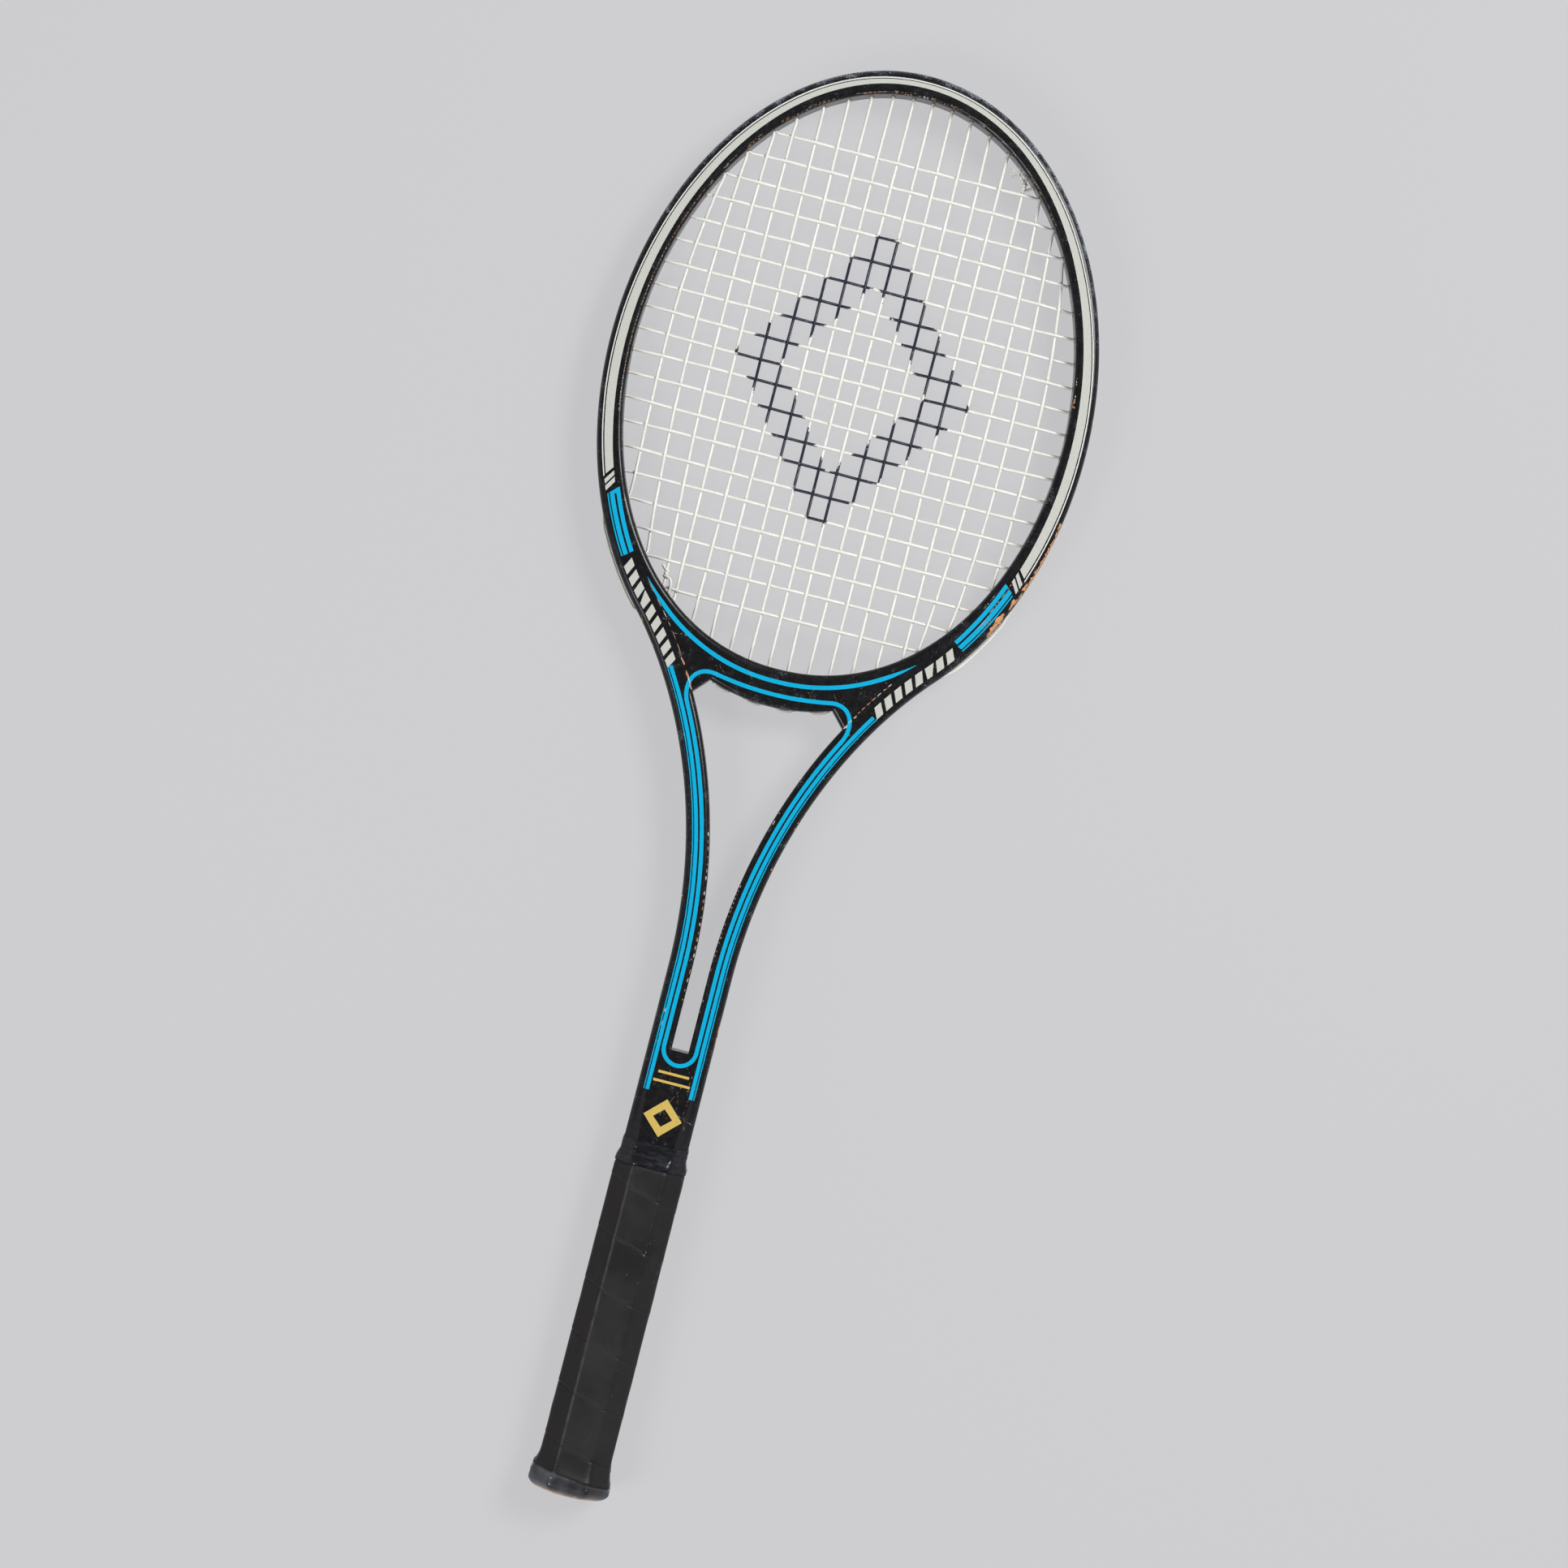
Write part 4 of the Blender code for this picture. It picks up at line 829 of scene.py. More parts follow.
class PaintSheet:
    """Collects patches of paint that lie on both faces of the frame."""

    def __init__(self):
        self.points = []
        self.faces = []

    def patch(self, left, right, columns=3, faces=(1.0, -1.0), lift=PAINT_LIFT):
        left, right = np.asarray(left, float), np.asarray(right, float)
        flat = np.stack([left + (right - left) * share for share in np.linspace(0.0, 1.0, columns + 1)], 1)
        rows, cols = flat.shape[:2]
        total = rows * cols
        height = SURFACE.height(flat.reshape(-1, 2)).reshape(rows, cols)
        for side in faces:
            index = np.arange(total).reshape(rows, cols) + len(self.points)
            for lower in (0.0, PAINT_THICKNESS):
                z = (height + lift - lower) * side
                self.points.extend(np.concatenate((flat, z[:, :, None]), 2).reshape(-1, 3).tolist())
            corners = (index[:-1, :-1], index[1:, :-1], index[1:, 1:], index[:-1, 1:])
            top = np.stack(corners, -1).reshape(-1, 4)
            low = (top + total)[:, (0, 3, 2, 1)]
            rim = np.concatenate((index[:, 0], index[-1, 1:], index[::-1, -1][1:], index[0, ::-1][1:-1]))
            after = np.roll(rim, -1)
            wall = np.stack((rim, rim + total, after + total, after), -1)
            self.faces.extend(top.tolist() + low.tolist() + wall.tolist())

    def mesh(self, name):
        return mesh_of(name, np.array(self.points), self.faces, 35)


def line_at_depth(places, depth):
    """Line behind the outer edge, at one depth or at one for each tenth from the tip."""
    if np.ndim(depth):
        depth = np.interp(places, np.arange(len(depth)) * 0.1, depth)
    return inside(places, depth)


def band(sheet, depths, side, outer, inner=None, columns=3, lift=PAINT_LIFT):
    """Paint between two depths; each edge runs from one height to another, None is the tip of the head."""
    edges = []
    for depth, (start, end) in zip(depths, (outer, inner or outer)):
        lowest = np.ravel(depth)[-1]
        first = 0.0 if start is None else place_at(start, lowest)
        edges.append((first, place_at(end, lowest), depth))
    steps = max(4, int((edges[0][1] - edges[0][0]) * 260))
    outer, inner = [line_at_depth(np.linspace(first, last, steps), depth) * (side, 1.0)
                    for first, last, depth in edges]
    sheet.patch(outer, inner, columns, lift=lift)


def even_places(top, bottom, depth, count):
    """Places at even steps of length between two heights."""
    places = np.linspace(place_at(top, depth), place_at(bottom, depth), 400)
    steps = np.linalg.norm(np.diff(inside(places, depth), axis=0), axis=1)
    return np.interp(np.linspace(0.0, steps.sum(), count), np.concatenate(([0.0], np.cumsum(steps))), places)


def loop_centre():
    """Right half of the line round the throat, from the middle of the bridge to the foot of the slot."""
    xs = np.linspace(0.0, 0.0275, 30)
    top = np.stack((xs, 0.3876 + 0.0029 * (xs / 0.029) ** 2), 1)
    depth = (LOOP_LINE[0] + LOOP_LINE[1]) / 2
    shaft = stretch(0.3735, 0.2200, depth, 120)
    end_way = shaft[0] - shaft[1]
    end_way /= np.linalg.norm(end_way)
    second = top[-1] + np.array((1.0, 0.19)) * 0.0100
    third = shaft[0] + end_way * 0.0105
    corner = bezier(top[-1], second, third, shaft[0], np.linspace(0.0, 1.0, 26)[1:-1, None])
    radius = NECK_HALF_WIDTH - depth
    angles = np.linspace(0.0, math.pi / 2, 22)
    foot = np.stack((radius * np.cos(angles), LOOP_FOOT_Y + radius - radius * np.sin(angles)), 1)
    return np.concatenate((top, corner, shaft, foot))


def ways_across(line):
    """Direction square to a line at each of its points."""
    run = np.gradient(line, axis=0)
    return unit_rows(np.stack((-run[:, 1], run[:, 0]), 1))


def ribbon_round(sheet, centre, half_widths):
    """Paint of a given half width along a line."""
    off = ways_across(centre) * np.broadcast_to(half_widths, (len(centre),))[:, None]
    sheet.patch(centre + off, centre - off)


def build_blue_lines():
    """Blue lines on the shafts, round the throat, on the bridge and low on the head."""
    sheet = PaintSheet()
    for side in (-1.0, 1.0):
        for depths in (THIN_LINE, THICK_LINE):
            square_end = inside([place_at(0.3882, depths[0])] * 2, depths)[:, 1]
            band(sheet, depths, side, (square_end[0], 0.1945), (square_end[1], 0.1945), 8, 0.00007)
    # Left group, joined at its top, then the right group
    for side, depths, outer, inner in (
            (-1.0, GROUP_THIN, (0.4590, 0.4324), (0.4598, 0.4329)),
            (-1.0, GROUP_MIDDLE, (0.4601, 0.4332), (0.4617, 0.4344)),
            (-1.0, (GROUP_MIDDLE[1], GROUP_INNER[0]), (0.4617, 0.4600), (0.4625, 0.4606)),
            (-1.0, GROUP_INNER, (0.4625, 0.4351), (0.4639, 0.4363)),
            (1.0, GROUP_THIN, (0.4596, 0.4289), (0.4602, 0.4293)),
            (1.0, GROUP_MIDDLE, (0.4610, 0.4298), (0.4626, 0.4306)),
            (1.0, GROUP_INNER, (0.4634, 0.4315), (0.4646, 0.4325))):
        band(sheet, depths, side, outer, inner)
    line = loop_centre()
    half = (LOOP_LINE[1] - LOOP_LINE[0]) / 2
    ribbon_round(sheet, np.concatenate((line[::-1], (line * (-1.0, 1.0))[1:])), half * 0.98)
    # Line along the strings' edge of the bridge, tapered to both ends
    angles = np.linspace(-BRIDGE_LINE_LEFT, BRIDGE_LINE_RIGHT, 160)
    edge, normals = string_edge(angles)
    reach = np.where(angles < 0.0, BRIDGE_LINE_LEFT, BRIDGE_LINE_RIGHT)
    share = np.clip((np.abs(angles) - reach + 0.13) / 0.13, 0.0, 1.0)
    depth = 0.0060 - np.where(angles < 0.0, 0.0019, 0.0007) * (angles / reach) ** 2
    ribbon_round(sheet, edge + normals * depth[:, None], 0.00095 * (1.0 - share**1.3) + 0.00004)
    return sheet.mesh("paint_blue_lines")


def build_silver_band():
    """Silver band round the head, its closing bars and the slanted bars below."""
    sheet = PaintSheet()
    for depths, side, outer, inner in (
            (HEAD_BAND, -1.0, (None, 0.4681), (None, 0.4719)),
            (HEAD_BAND, 1.0, (None, 0.4690), (None, 0.4726)),
            (BAR_LINE, -1.0, (0.4655, 0.4634), (0.4705, 0.4686)),
            (BAR_LINE, -1.0, (0.4625, 0.4604), (0.4677, 0.4655)),
            (BAR_LINE, 1.0, (0.46625, 0.4639), (0.47125, 0.46925)),
            (BAR_LINE, 1.0, (0.4630, 0.4611), (0.46825, 0.46625))):
        band(sheet, depths, side, outer, inner)
    # Plain slanted bars on the throat
    for side, top, bottom, count in ((-1.0, 0.4306, 0.3880, 9), (1.0, 0.4268, 0.3890, 8)):
        places = even_places(top, bottom, 0.0055, count * 3 + 1)
        for first, last in zip(places[:-1:3], places[2::3]):
            lean_share = 0.35 * (last - first)
            steps = np.linspace(first, last, 6)
            sheet.patch(inside(steps + lean_share, SLANT_LINE[0]) * (side, 1.0),
                        inside(steps - lean_share, SLANT_LINE[1]) * (side, 1.0))
    return sheet.mesh("paint_silver_band")


def build_pin_line():
    """Thin white line outside the silver band."""
    sheet = PaintSheet()
    band(sheet, PIN_LINE, -1.0, (None, 0.4665), (None, 0.4672))
    band(sheet, PIN_LINE, 1.0, (None, 0.4674), (None, 0.4680))
    return sheet.mesh("paint_pin_line")


def build_gold_marks():
    """Two short lines and a hollow diamond on the front of the handle's shoulder."""
    sheet = PaintSheet()
    for y, half, tall in ((0.2040, 0.0074, 0.0006), (0.1998, 0.0088, 0.0006)):
        xs = np.linspace(-half, half, 24)
        upper, lower = [np.stack((xs, np.full(24, y + rise)), 1) for rise in (tall, -tall)]
        sheet.patch(upper, lower, 2, (1.0,))
    half_wide, half_tall, hole_wide, hole_tall = 0.0092, 0.0090, 0.0046, 0.0042
    middle = 0.1832
    xs = np.linspace(-half_wide, half_wide, 61)
    tall = half_tall * (1.0 - np.abs(xs) / half_wide) + 0.00002
    inner = hole_tall * np.clip(1.0 - np.abs(xs) / hole_wide, 0, 1)
    for sign in (1.0, -1.0):
        upper, lower = [np.stack((xs, middle + sign * rise), 1) for rise in (tall, inner)]
        sheet.patch(upper, lower, 10, (1.0,))
    return sheet.mesh("paint_gold_marks")


# Chips, cracks and rubbed lines

CHIP_CORNERS = 22
CHIP_LIFT = 0.00005
CHIP_RIM_LIFT = 0.00001
PLACES_PER_METRE = 1.0 / 0.30


def section_point(place, run, side):
    """Point and outward way on the bow's outside, at a run over its rounding from the flat face out."""
    y = float(outline([place])[0][0, 1])
    if run < 0.0:
        depth = OUTER_EDGE_RADIUS - run
        height = float(bow_height(depth, y, float(edge_depth([place])[0])))
        turn = 0.0
    elif run < ROUNDING_ARC:
        turn = run / OUTER_EDGE_RADIUS
        depth = OUTER_EDGE_RADIUS * (1.0 - math.sin(turn))
        height = float(half_depth(y)) - OUTER_EDGE_RADIUS * (1.0 - math.cos(turn))
    else:
        depth = 0.0
        height = float(half_depth(y)) - OUTER_EDGE_RADIUS - (run - ROUNDING_ARC)
        turn = math.pi / 2
    (point,), (normal,) = outline([place])
    flat = (point - normal * depth) * (side, 1.0)
    out = np.array((normal[0] * side * math.sin(turn), normal[1] * math.sin(turn), math.cos(turn)))
    return np.array((flat[0], flat[1], height)), out


class ChipSheet:
    """Collects ragged patches of bare wood on the rounding of the bow."""

    def __init__(self, seed):
        self.rng = np.random.default_rng(seed)
        self.points = []
        self.faces = []

    def chip(self, y, turned, half_long, half_wide, side=1.0, face=1.0):
        """One chip at a height, turned by a share of the rounding, on one side and one face."""
        rng = self.rng
        place, run = place_at(y), ROUNDING_ARC * turned
        bumps = rng.uniform(0, 6.28) + np.linspace(0, 6.28, CHIP_CORNERS, endpoint=False) * 3
        radii = (1.0 + 0.32 * np.sin(bumps)) * rng.uniform(0.72, 1.12, CHIP_CORNERS)
        base = len(self.points)
        middle, out = section_point(place, run, side)
        self.points.append((middle + out * CHIP_LIFT) * (1.0, 1.0, face))
        for share, lift in ((0.5, CHIP_LIFT), (1.0, CHIP_RIM_LIFT)):
            for i in range(CHIP_CORNERS):
                turn = 2 * math.pi * i / CHIP_CORNERS
                along = math.cos(turn) * half_long * radii[i] * share
                across = math.sin(turn) * half_wide * radii[i] * share
                spot, out = section_point(place + along * PLACES_PER_METRE, run + across, side)
                self.points.append((spot + out * lift) * (1.0, 1.0, face))
        for i in range(CHIP_CORNERS):
            a, b = base + 1 + i, base + 1 + (i + 1) % CHIP_CORNERS
            self.faces.append([base, a, b])
            self.faces.append([a, a + CHIP_CORNERS, b + CHIP_CORNERS, b])


def build_chips():
    """Chips on the bow: a worn stretch low on the right, then single ones on both faces."""
    sheet = ChipSheet(11)
    uniform = sheet.rng.uniform
    for i in range(52):
        sheet.chip(0.4975 - 0.0345 * (i / 51), uniform(0.50, 0.84), uniform(0.0004, 0.0010),
                   uniform(0.0004, 0.0008))
    for y, turned, long, wide in (
            (0.4645, 0.42, 0.0016, 0.0008), (0.4600, 0.62, 0.0018, 0.0007), (0.4560, 0.40, 0.0024, 0.0012),
            (0.4480, 0.30, 0.0022, 0.0014), (0.4450, 0.36, 0.0026, 0.0015), (0.4420, 0.46, 0.0022, 0.0013),
            (0.4395, 0.55, 0.0014, 0.0009)):
        sheet.chip(y, turned, long, wide)
    for y, side, long, wide in (
            (0.2300, 1.0, 0.0040, 0.0006), (0.2240, 1.0, 0.0022, 0.0007), (0.2860, -1.0, 0.0012, 0.0009),
            (0.3290, 1.0, 0.0007, 0.0006), (0.3320, 1.0, 0.0004, 0.0004), (0.3340, 1.0, 0.0004, 0.0003),
            (0.3375, 1.0, 0.0005, 0.0003), (0.3410, -1.0, 0.0003, 0.0003), (0.3320, -1.0, 0.0005, 0.0003),
            (0.3080, 1.0, 0.0010, 0.0005), (0.4060, -1.0, 0.0024, 0.0004), (0.3960, -1.0, 0.0018, 0.0004),
            (0.5480, 1.0, 0.0012, 0.0005), (0.6000, -1.0, 0.0010, 0.0004)):
        sheet.chip(y, uniform(0.55, 0.95), long, wide, side)
    for _ in range(16):
        sheet.chip(uniform(0.30, 0.64), uniform(0.6, 1.1), uniform(0.0006, 0.0014), uniform(0.0003, 0.0006),
                   sheet.rng.choice((-1.0, 1.0)), -1.0)
    return mesh_of("bare_wood_chips", np.array(sheet.points), sheet.faces, 50, closed=False)


class CrackSheet(PaintSheet):
    """Collects thin ragged lines of bare wood, broken into short runs."""

    def __init__(self, seed):
        super().__init__()
        self.rng = np.random.default_rng(seed)

    def crack(self, line, width, faces=(1.0,)):
        line = np.asarray(line, float)
        across = ways_across(line)
        i = 0
        while i < len(line) - 3:
            length = int(self.rng.integers(3, 9))
            part = slice(i, min(i + length, len(line)))
            piece = line[part]
            if len(piece) < 3:
                break
            taper = np.sin(np.linspace(0.15, math.pi - 0.15, len(piece)))
            swell = width * self.rng.uniform(0.5, 1.6) * taper
            wander = across[part] * self.rng.normal(0, width * 0.4, len(piece))[:, None]
            off = across[part] * swell[:, None]
            self.patch(piece + wander + off, piece + wander - off, 1, faces, PAINT_LIFT * 1.6)
            i += length + int(self.rng.integers(0, 3))

    def flecks(self, line, last, step, length, likelihood, width):
        """Short cracks here and there along a line."""
        for i in range(0, last, step):
            if self.rng.uniform() < likelihood:
                self.crack(line[i:i + length], width)

    def scratch(self, middle, spread, length):
        """A slightly bent hairline scratch near a point."""
        turn = self.rng.uniform(0.2, 2.9)
        half = np.array((math.cos(turn), math.sin(turn))) * length * self.rng.uniform(0.4, 1.0)
        at = np.array(middle) + self.rng.uniform(-1.0, 1.0, 2) * spread
        share = np.linspace(-1.0, 1.0, 16)[:, None]
        bend = np.array((-half[1], half[0])) * self.rng.uniform(-0.12, 0.12)
        self.crack(at + half * share + bend * share * share, 0.00004)


def build_cracks():
    """Cracked joints of the bridge, rubbed inner edges and scratches."""
    sheet = CrackSheet(5)
    for side, end_y in ((-1.0, 0.4300), (1.0, 0.4060)):
        joint = stretch(LEG_END_Y + 0.0006, end_y, BOW_WIDTH, 70, side)
        sheet.crack(joint, 0.00017, (1.0, -1.0))
        sheet.crack(joint[:22] + (side * 0.0003, 0.0), 0.00034)
    for side, reach in ((-1.0, 0.44), (1.0, 0.34)):
        for depth in (0.0098, 0.0102, 0.0106):
            line = inside(np.linspace(0.0, reach, 320), depth) * (side, 1.0)
            sheet.flecks(line, 308, 12, 12, 0.35, 0.00006)
    # Hairline scratches on the shoulder, a cluster low on the right of the head, and some on the bridge
    for middle, spread, length, count in (((0.004, 0.194), (0.007, 0.014), 0.005, 14),
                                          ((0.0885, 0.4450), (0.0030, 0.0028), 0.0018, 12),
                                          ((0.0, 0.3925), (0.030, 0.003), 0.0022, 10)):
        for _ in range(count):
            sheet.scratch(middle, spread, length)
    xs = np.linspace(-0.0530, -0.0450, 24)
    sheet.crack(np.stack((xs, 0.4042 + 0.0003 * np.sin(xs * 900)), 1), 0.00007)
    # Rubbed inner bevel of the head: a long thin line on the left, flakes on the right and at the tip
    for side, depth, top, bottom, count, width in ((-1.0, 0.0099, 0.6050, 0.4980, 420, 0.00009),
                                                   (1.0, 0.0100, 0.5580, 0.5545, 14, 0.00030),
                                                   (1.0, 0.0102, 0.5555, 0.5508, 14, 0.00040),
                                                   (1.0, 0.0108, 0.5540, 0.5520, 14, 0.00020),
                                                   (1.0, 0.0101, 0.5660, 0.5625, 14, 0.00016)):
        sheet.crack(stretch(top, bottom, depth, count, side), width)
    for left, right, depth, width in ((-0.0098, -0.0062, 0.0108, 0.00026),
                                      (-0.0006, 0.0018, 0.0106, 0.00030),
                                      (-0.0300, -0.0150, 0.0103, 0.00010)):
        xs = np.linspace(left, right, 14)
        places = np.arcsin(np.abs(xs) / (HEAD_HALF_WIDTH - depth)) / (math.pi / 2 - HEAD_ARC_END)
        sheet.crack(inside(places, depth) * np.stack((np.sign(xs), np.ones(14)), 1), width)
    # Nicks on the inner edge of the right shaft, then worn inner edges of both
    for y in (0.3343, 0.3300, 0.3291):
        sheet.crack(stretch(y + 0.0006, y - 0.0006, 0.0104, 8), 0.00024)
    for side, low, high in ((-1.0, 0.2170, 0.3250), (1.0, 0.2350, 0.3000)):
        sheet.flecks(stretch(low, high, 0.0106, 260, side), 250, 9, 6, 0.62, 0.00022)
    for side, depth, start, end, count, width in ((-1.0, 0.0041, 0.2160, 0.2340, 40, 0.00035),
                                                  (1.0, 0.0073, 0.4650, 0.4480, 36, 0.00020),
                                                  (1.0, 0.0066, 0.4480, 0.4390, 36, 0.00015),
                                                  (1.0, 0.0105, 0.4580, 0.4500, 36, 0.00008)):
        sheet.crack(stretch(start, end, depth, count, side), width)
    return sheet.mesh("cracks_and_rubs")


# String: the route of its solid, drawn tight

STRING_PITCH = (0.0092, 0.00016)
CROSS_PITCH = (0.0107, 0.00009)
BED_CENTRE_Y = 0.5339
BED_HALF_LENGTH = 0.13
BED_HALF_WIDTH = 0.10
# How far from the rim a main and a cross start to meet
FREE_OF_RIM = 0.003
# Height at which mains and crosses pass through the rim, mains above and crosses below
LANE = 0.00095
# How far a string bows sideways
BED_PLAY = 0.00065
# How far the loops stand off the groove's floor and the arch, and how far strings clear a hole's edge
LOOP_STANDOFF = 0.0011
ARCH_STANDOFF = 0.00075
EDGE_CLEARANCE = 0.0003
# Outermost mains that share a cross string's hole, and innermost ones that end in the bridge
SHARED_MAINS = 3
BRIDGE_MAINS = 4
KNOT_RADIUS = 0.00130
WEAVE_GAP = 0.00014
STRING_STEP = 0.0012
FRAY_FIBRES = 44
FIBRE_LENGTH = 0.0042
FIBRE_THICKNESS = 0.00013
HOLE_RIM_RADIUS = 0.00112
HOLE_RIM_LIP = 0.00014
HOLE_MOUTH_RADIUS = 0.00110
# Slow sideways waves of every main and cross string, as hand stringing leaves them
BED_WAVES = np.random.default_rng(31).uniform(-1.0, 1.0, (2, 40, 2))


def solve(value_at, wanted, low, high):
    """Where a value that only rises or only falls reaches the wanted one, by halving."""
    rising = value_at(high) > value_at(low)
    for _ in range(40):
        middle = (low + high) / 2
        if (value_at(middle) < wanted) == rising:
            low = middle
        else:
            high = middle
    return (low + high) / 2


class Hole:
    """A string hole on the right half: its inner end, its outer end and its place on the bow."""

    def __init__(self, entry, leave, place=None):
        self.entry = np.asarray(entry, float)
        self.leave = np.asarray(leave, float)
        self.place = place

    @classmethod
    def square(cls, place):
        point, normal = outline([place])
        return cls(point[0] - normal[0] * edge_depth([place])[0], point[0], place)

    def mouths(self):
        """Place and outward direction of its inner and its outer end."""
        if self.place is None:
            out_at, out_way = self.leave, np.array((0.0, -1.0))
        else:
            out_at = inside([self.place], groove_depth(self.leave[1]))[0]
            out_way = outline([self.place])[1][0]
        edge_way = -out_way
        if self.place is None or self.entry[1] < STRING_EDGE_TOP_Y:
            share = (abs(self.entry[0]) / STRING_EDGE_HALF_WIDTH) ** (STRING_EDGE_POWER / 2)
            edge_way = -string_edge([max(math.asin(min(1.0, share)), 1e-4)])[1][0]
        return (self.entry, edge_way), (out_at, out_way)


def spread(pitch, count):
    """Offsets from the middle of the bed, at a pitch that widens outwards."""
    return [pitch[0] * (j + 0.5) + pitch[1] * (j + 0.5) ** 2 for j in range(count)]


def plan_holes():
    """Offsets of the mains, their upper and lower holes, and the holes of the crosses from the tip down."""
    ys = [BED_CENTRE_Y + offset for offset in reversed(spread(CROSS_PITCH, 10))]
    ys += [BED_CENTRE_Y - offset for offset in spread(CROSS_PITCH, 10)]
    crosses = [Hole.square(solve(lambda place: Hole.square(place).entry[1], y, 0.0, 1.6)) for y in ys]
    xs = spread(STRING_PITCH, 9)
    widest = math.pi / 2 / (math.pi / 2 - HEAD_ARC_END)
    tops, bottoms = [], []
    for i, x in enumerate(xs):
        shared = i - (len(xs) - SHARED_MAINS)
        if shared >= 0:
            tops.append(crosses[shared])
            bottoms.append(crosses[(19, 18, 16)[shared]])
            continue
        tops.append(Hole.square(solve(lambda place: inside([place], BOW_WIDTH)[0, 0], x, 0.0, widest)))
        entry = np.array((x, float(string_edge_y(x))))
        if i < BRIDGE_MAINS:
            bottoms.append(Hole(entry, (x * 0.8, float(arch_y(x * 0.8)))))
            continue

        def beside(place, entry=entry):
            point, normal = outline([place])
            away = entry - point[0]
            return away[0] * normal[0, 1] - away[1] * normal[0, 0]

        square = solve(beside, 0.0, 0.9, 1.6)
        straight = solve(lambda place: outline([place])[0][0, 0], x, 0.9, 1.9)
        place = straight + (square - straight) * 0.65
        bottoms.append(Hole(entry, outline([place])[0][0], place))
    return xs, tops, bottoms, crosses


def on_side(flat, side, z):
    """A point of the right half in plan, on either side and at a height."""
    return np.array((flat[0] * side, flat[1], z))


def tie_hole(first, second):
    """Hole of a tied end, halfway between two others."""
    middle = (first.entry[0] + second.entry[0]) / 2
    return Hole.square(solve(lambda place: Hole.square(place).entry[0], middle, first.place, second.place))


def rim_point(hole, side, z):
    """Point of the string where it leaves a hole towards the bed."""
    inward = (hole.entry - hole.leave) / np.linalg.norm(hole.entry - hole.leave)
    return on_side(hole.entry + inward * EDGE_CLEARANCE, side, z)


def outer_point(hole, side, z, depth=0.0008):
    """Point of the string at the outer end of a hole, in the groove or under the arch."""
    if hole.place is None:
        return on_side((hole.leave[0], hole.leave[1] - ARCH_STANDOFF), side, z)
    return on_side(inside([hole.place], depth)[0], side, z)


def crossing(plan, i, k, side, weave):
    """Where a main and a cross string meet, or None where they don't; both take the same point."""
    xs, tops, bottoms, crosses = plan
    y = crosses[k].entry[1]
    x = lean(xs[i], y, tops[i], bottoms[i])
    if not bottoms[i].entry[1] < y < tops[i].entry[1] or x >= crosses[k].entry[0] - FREE_OF_RIM:
        return None
    number = i if side > 0 else -1 - i
    x *= side
    shares = np.clip(((y - BED_CENTRE_Y) / BED_HALF_LENGTH, x / BED_HALF_WIDTH), -1.0, 1.0)
    waves = (BED_WAVES[0, number + 9], BED_WAVES[1, k])
    away = [(1.0 - share * share) * (wave[0] + wave[1] * share * 1.8) * BED_PLAY
            for share, wave in zip(shares, waves)]
    return np.array((x + away[0], y + away[1], weave if (number + k) % 2 == 0 else -weave))


def lean(x, y, top, bottom):
    """Offset of a main string at a height, drawn towards its holes."""
    end = top if y > BED_CENTRE_Y else bottom
    share = np.clip((y - BED_CENTRE_Y) / (end.entry[1] - BED_CENTRE_Y), 0.0, 1.0)
    return x + (end.entry[0] - x) * share * share


def main_run(i, side, plan, weave):
    """A main string from its lower hole up."""
    _, tops, bottoms, crosses = plan
    met = [crossing(plan, i, k, side, weave) for k in reversed(range(len(crosses)))]
    points = [outer_point(bottoms[i], side, LANE), rim_point(bottoms[i], side, LANE)]
    points += [point for point in met if point is not None]
    return points + [rim_point(tops[i], side, LANE), outer_point(tops[i], side, LANE)]


def cross_run(k, plan, weave):
    """A cross string from its left hole to its right."""
    xs, _, _, crosses = plan
    met = [crossing(plan, i, k, side, -weave) for side in (-1.0, 1.0) for i in range(len(xs))]
    met = sorted((point for point in met if point is not None), key=lambda point: point[0])
    left, right = [[outer_point(crosses[k], side, -LANE), rim_point(crosses[k], side, -LANE)]
                   for side in (-1.0, 1.0)]
    return left + met + right[::-1]


def knot_turns(first, second, face):
    """Turns of the string's end round a main string, then its tail."""
    axis = (second - first) / np.linalg.norm(second - first)
    axis = -axis if axis[1] < 0 else axis
    side = np.array((1.0, 0.0, 0.0)) - axis * axis[0]
    side /= np.linalg.norm(side)
    front = np.cross(side, axis)
    middle = (first + second) / 2
    points = [middle - axis * 0.0019 + front * face * KNOT_RADIUS + side * 0.0026]
    for i in range(40):
        turn = i / 16
        angle = face * math.pi * (0.5 + 2.0 * turn)
        bulge = KNOT_RADIUS * (1.0 + 0.16 * math.sin(5.0 * turn))
        ring = (side * math.cos(angle) + front * math.sin(angle)) * bulge
        points.append(middle + axis * 0.00155 * (turn - 1.2) + ring)
    points.append(points[-1] + (axis * 0.8 - side * 0.8 + front * 0.4) * 0.0024)
    return points


def outside_loop(first, last, side, z):
    """Points of a loop round the outside of the bow between two holes."""
    places = [first.place + (last.place - first.place) * share for share in (0.2, 0.4, 0.6, 0.8)]
    return [on_side(inside([place], -LOOP_STANDOFF)[0], side, z) for place in places]


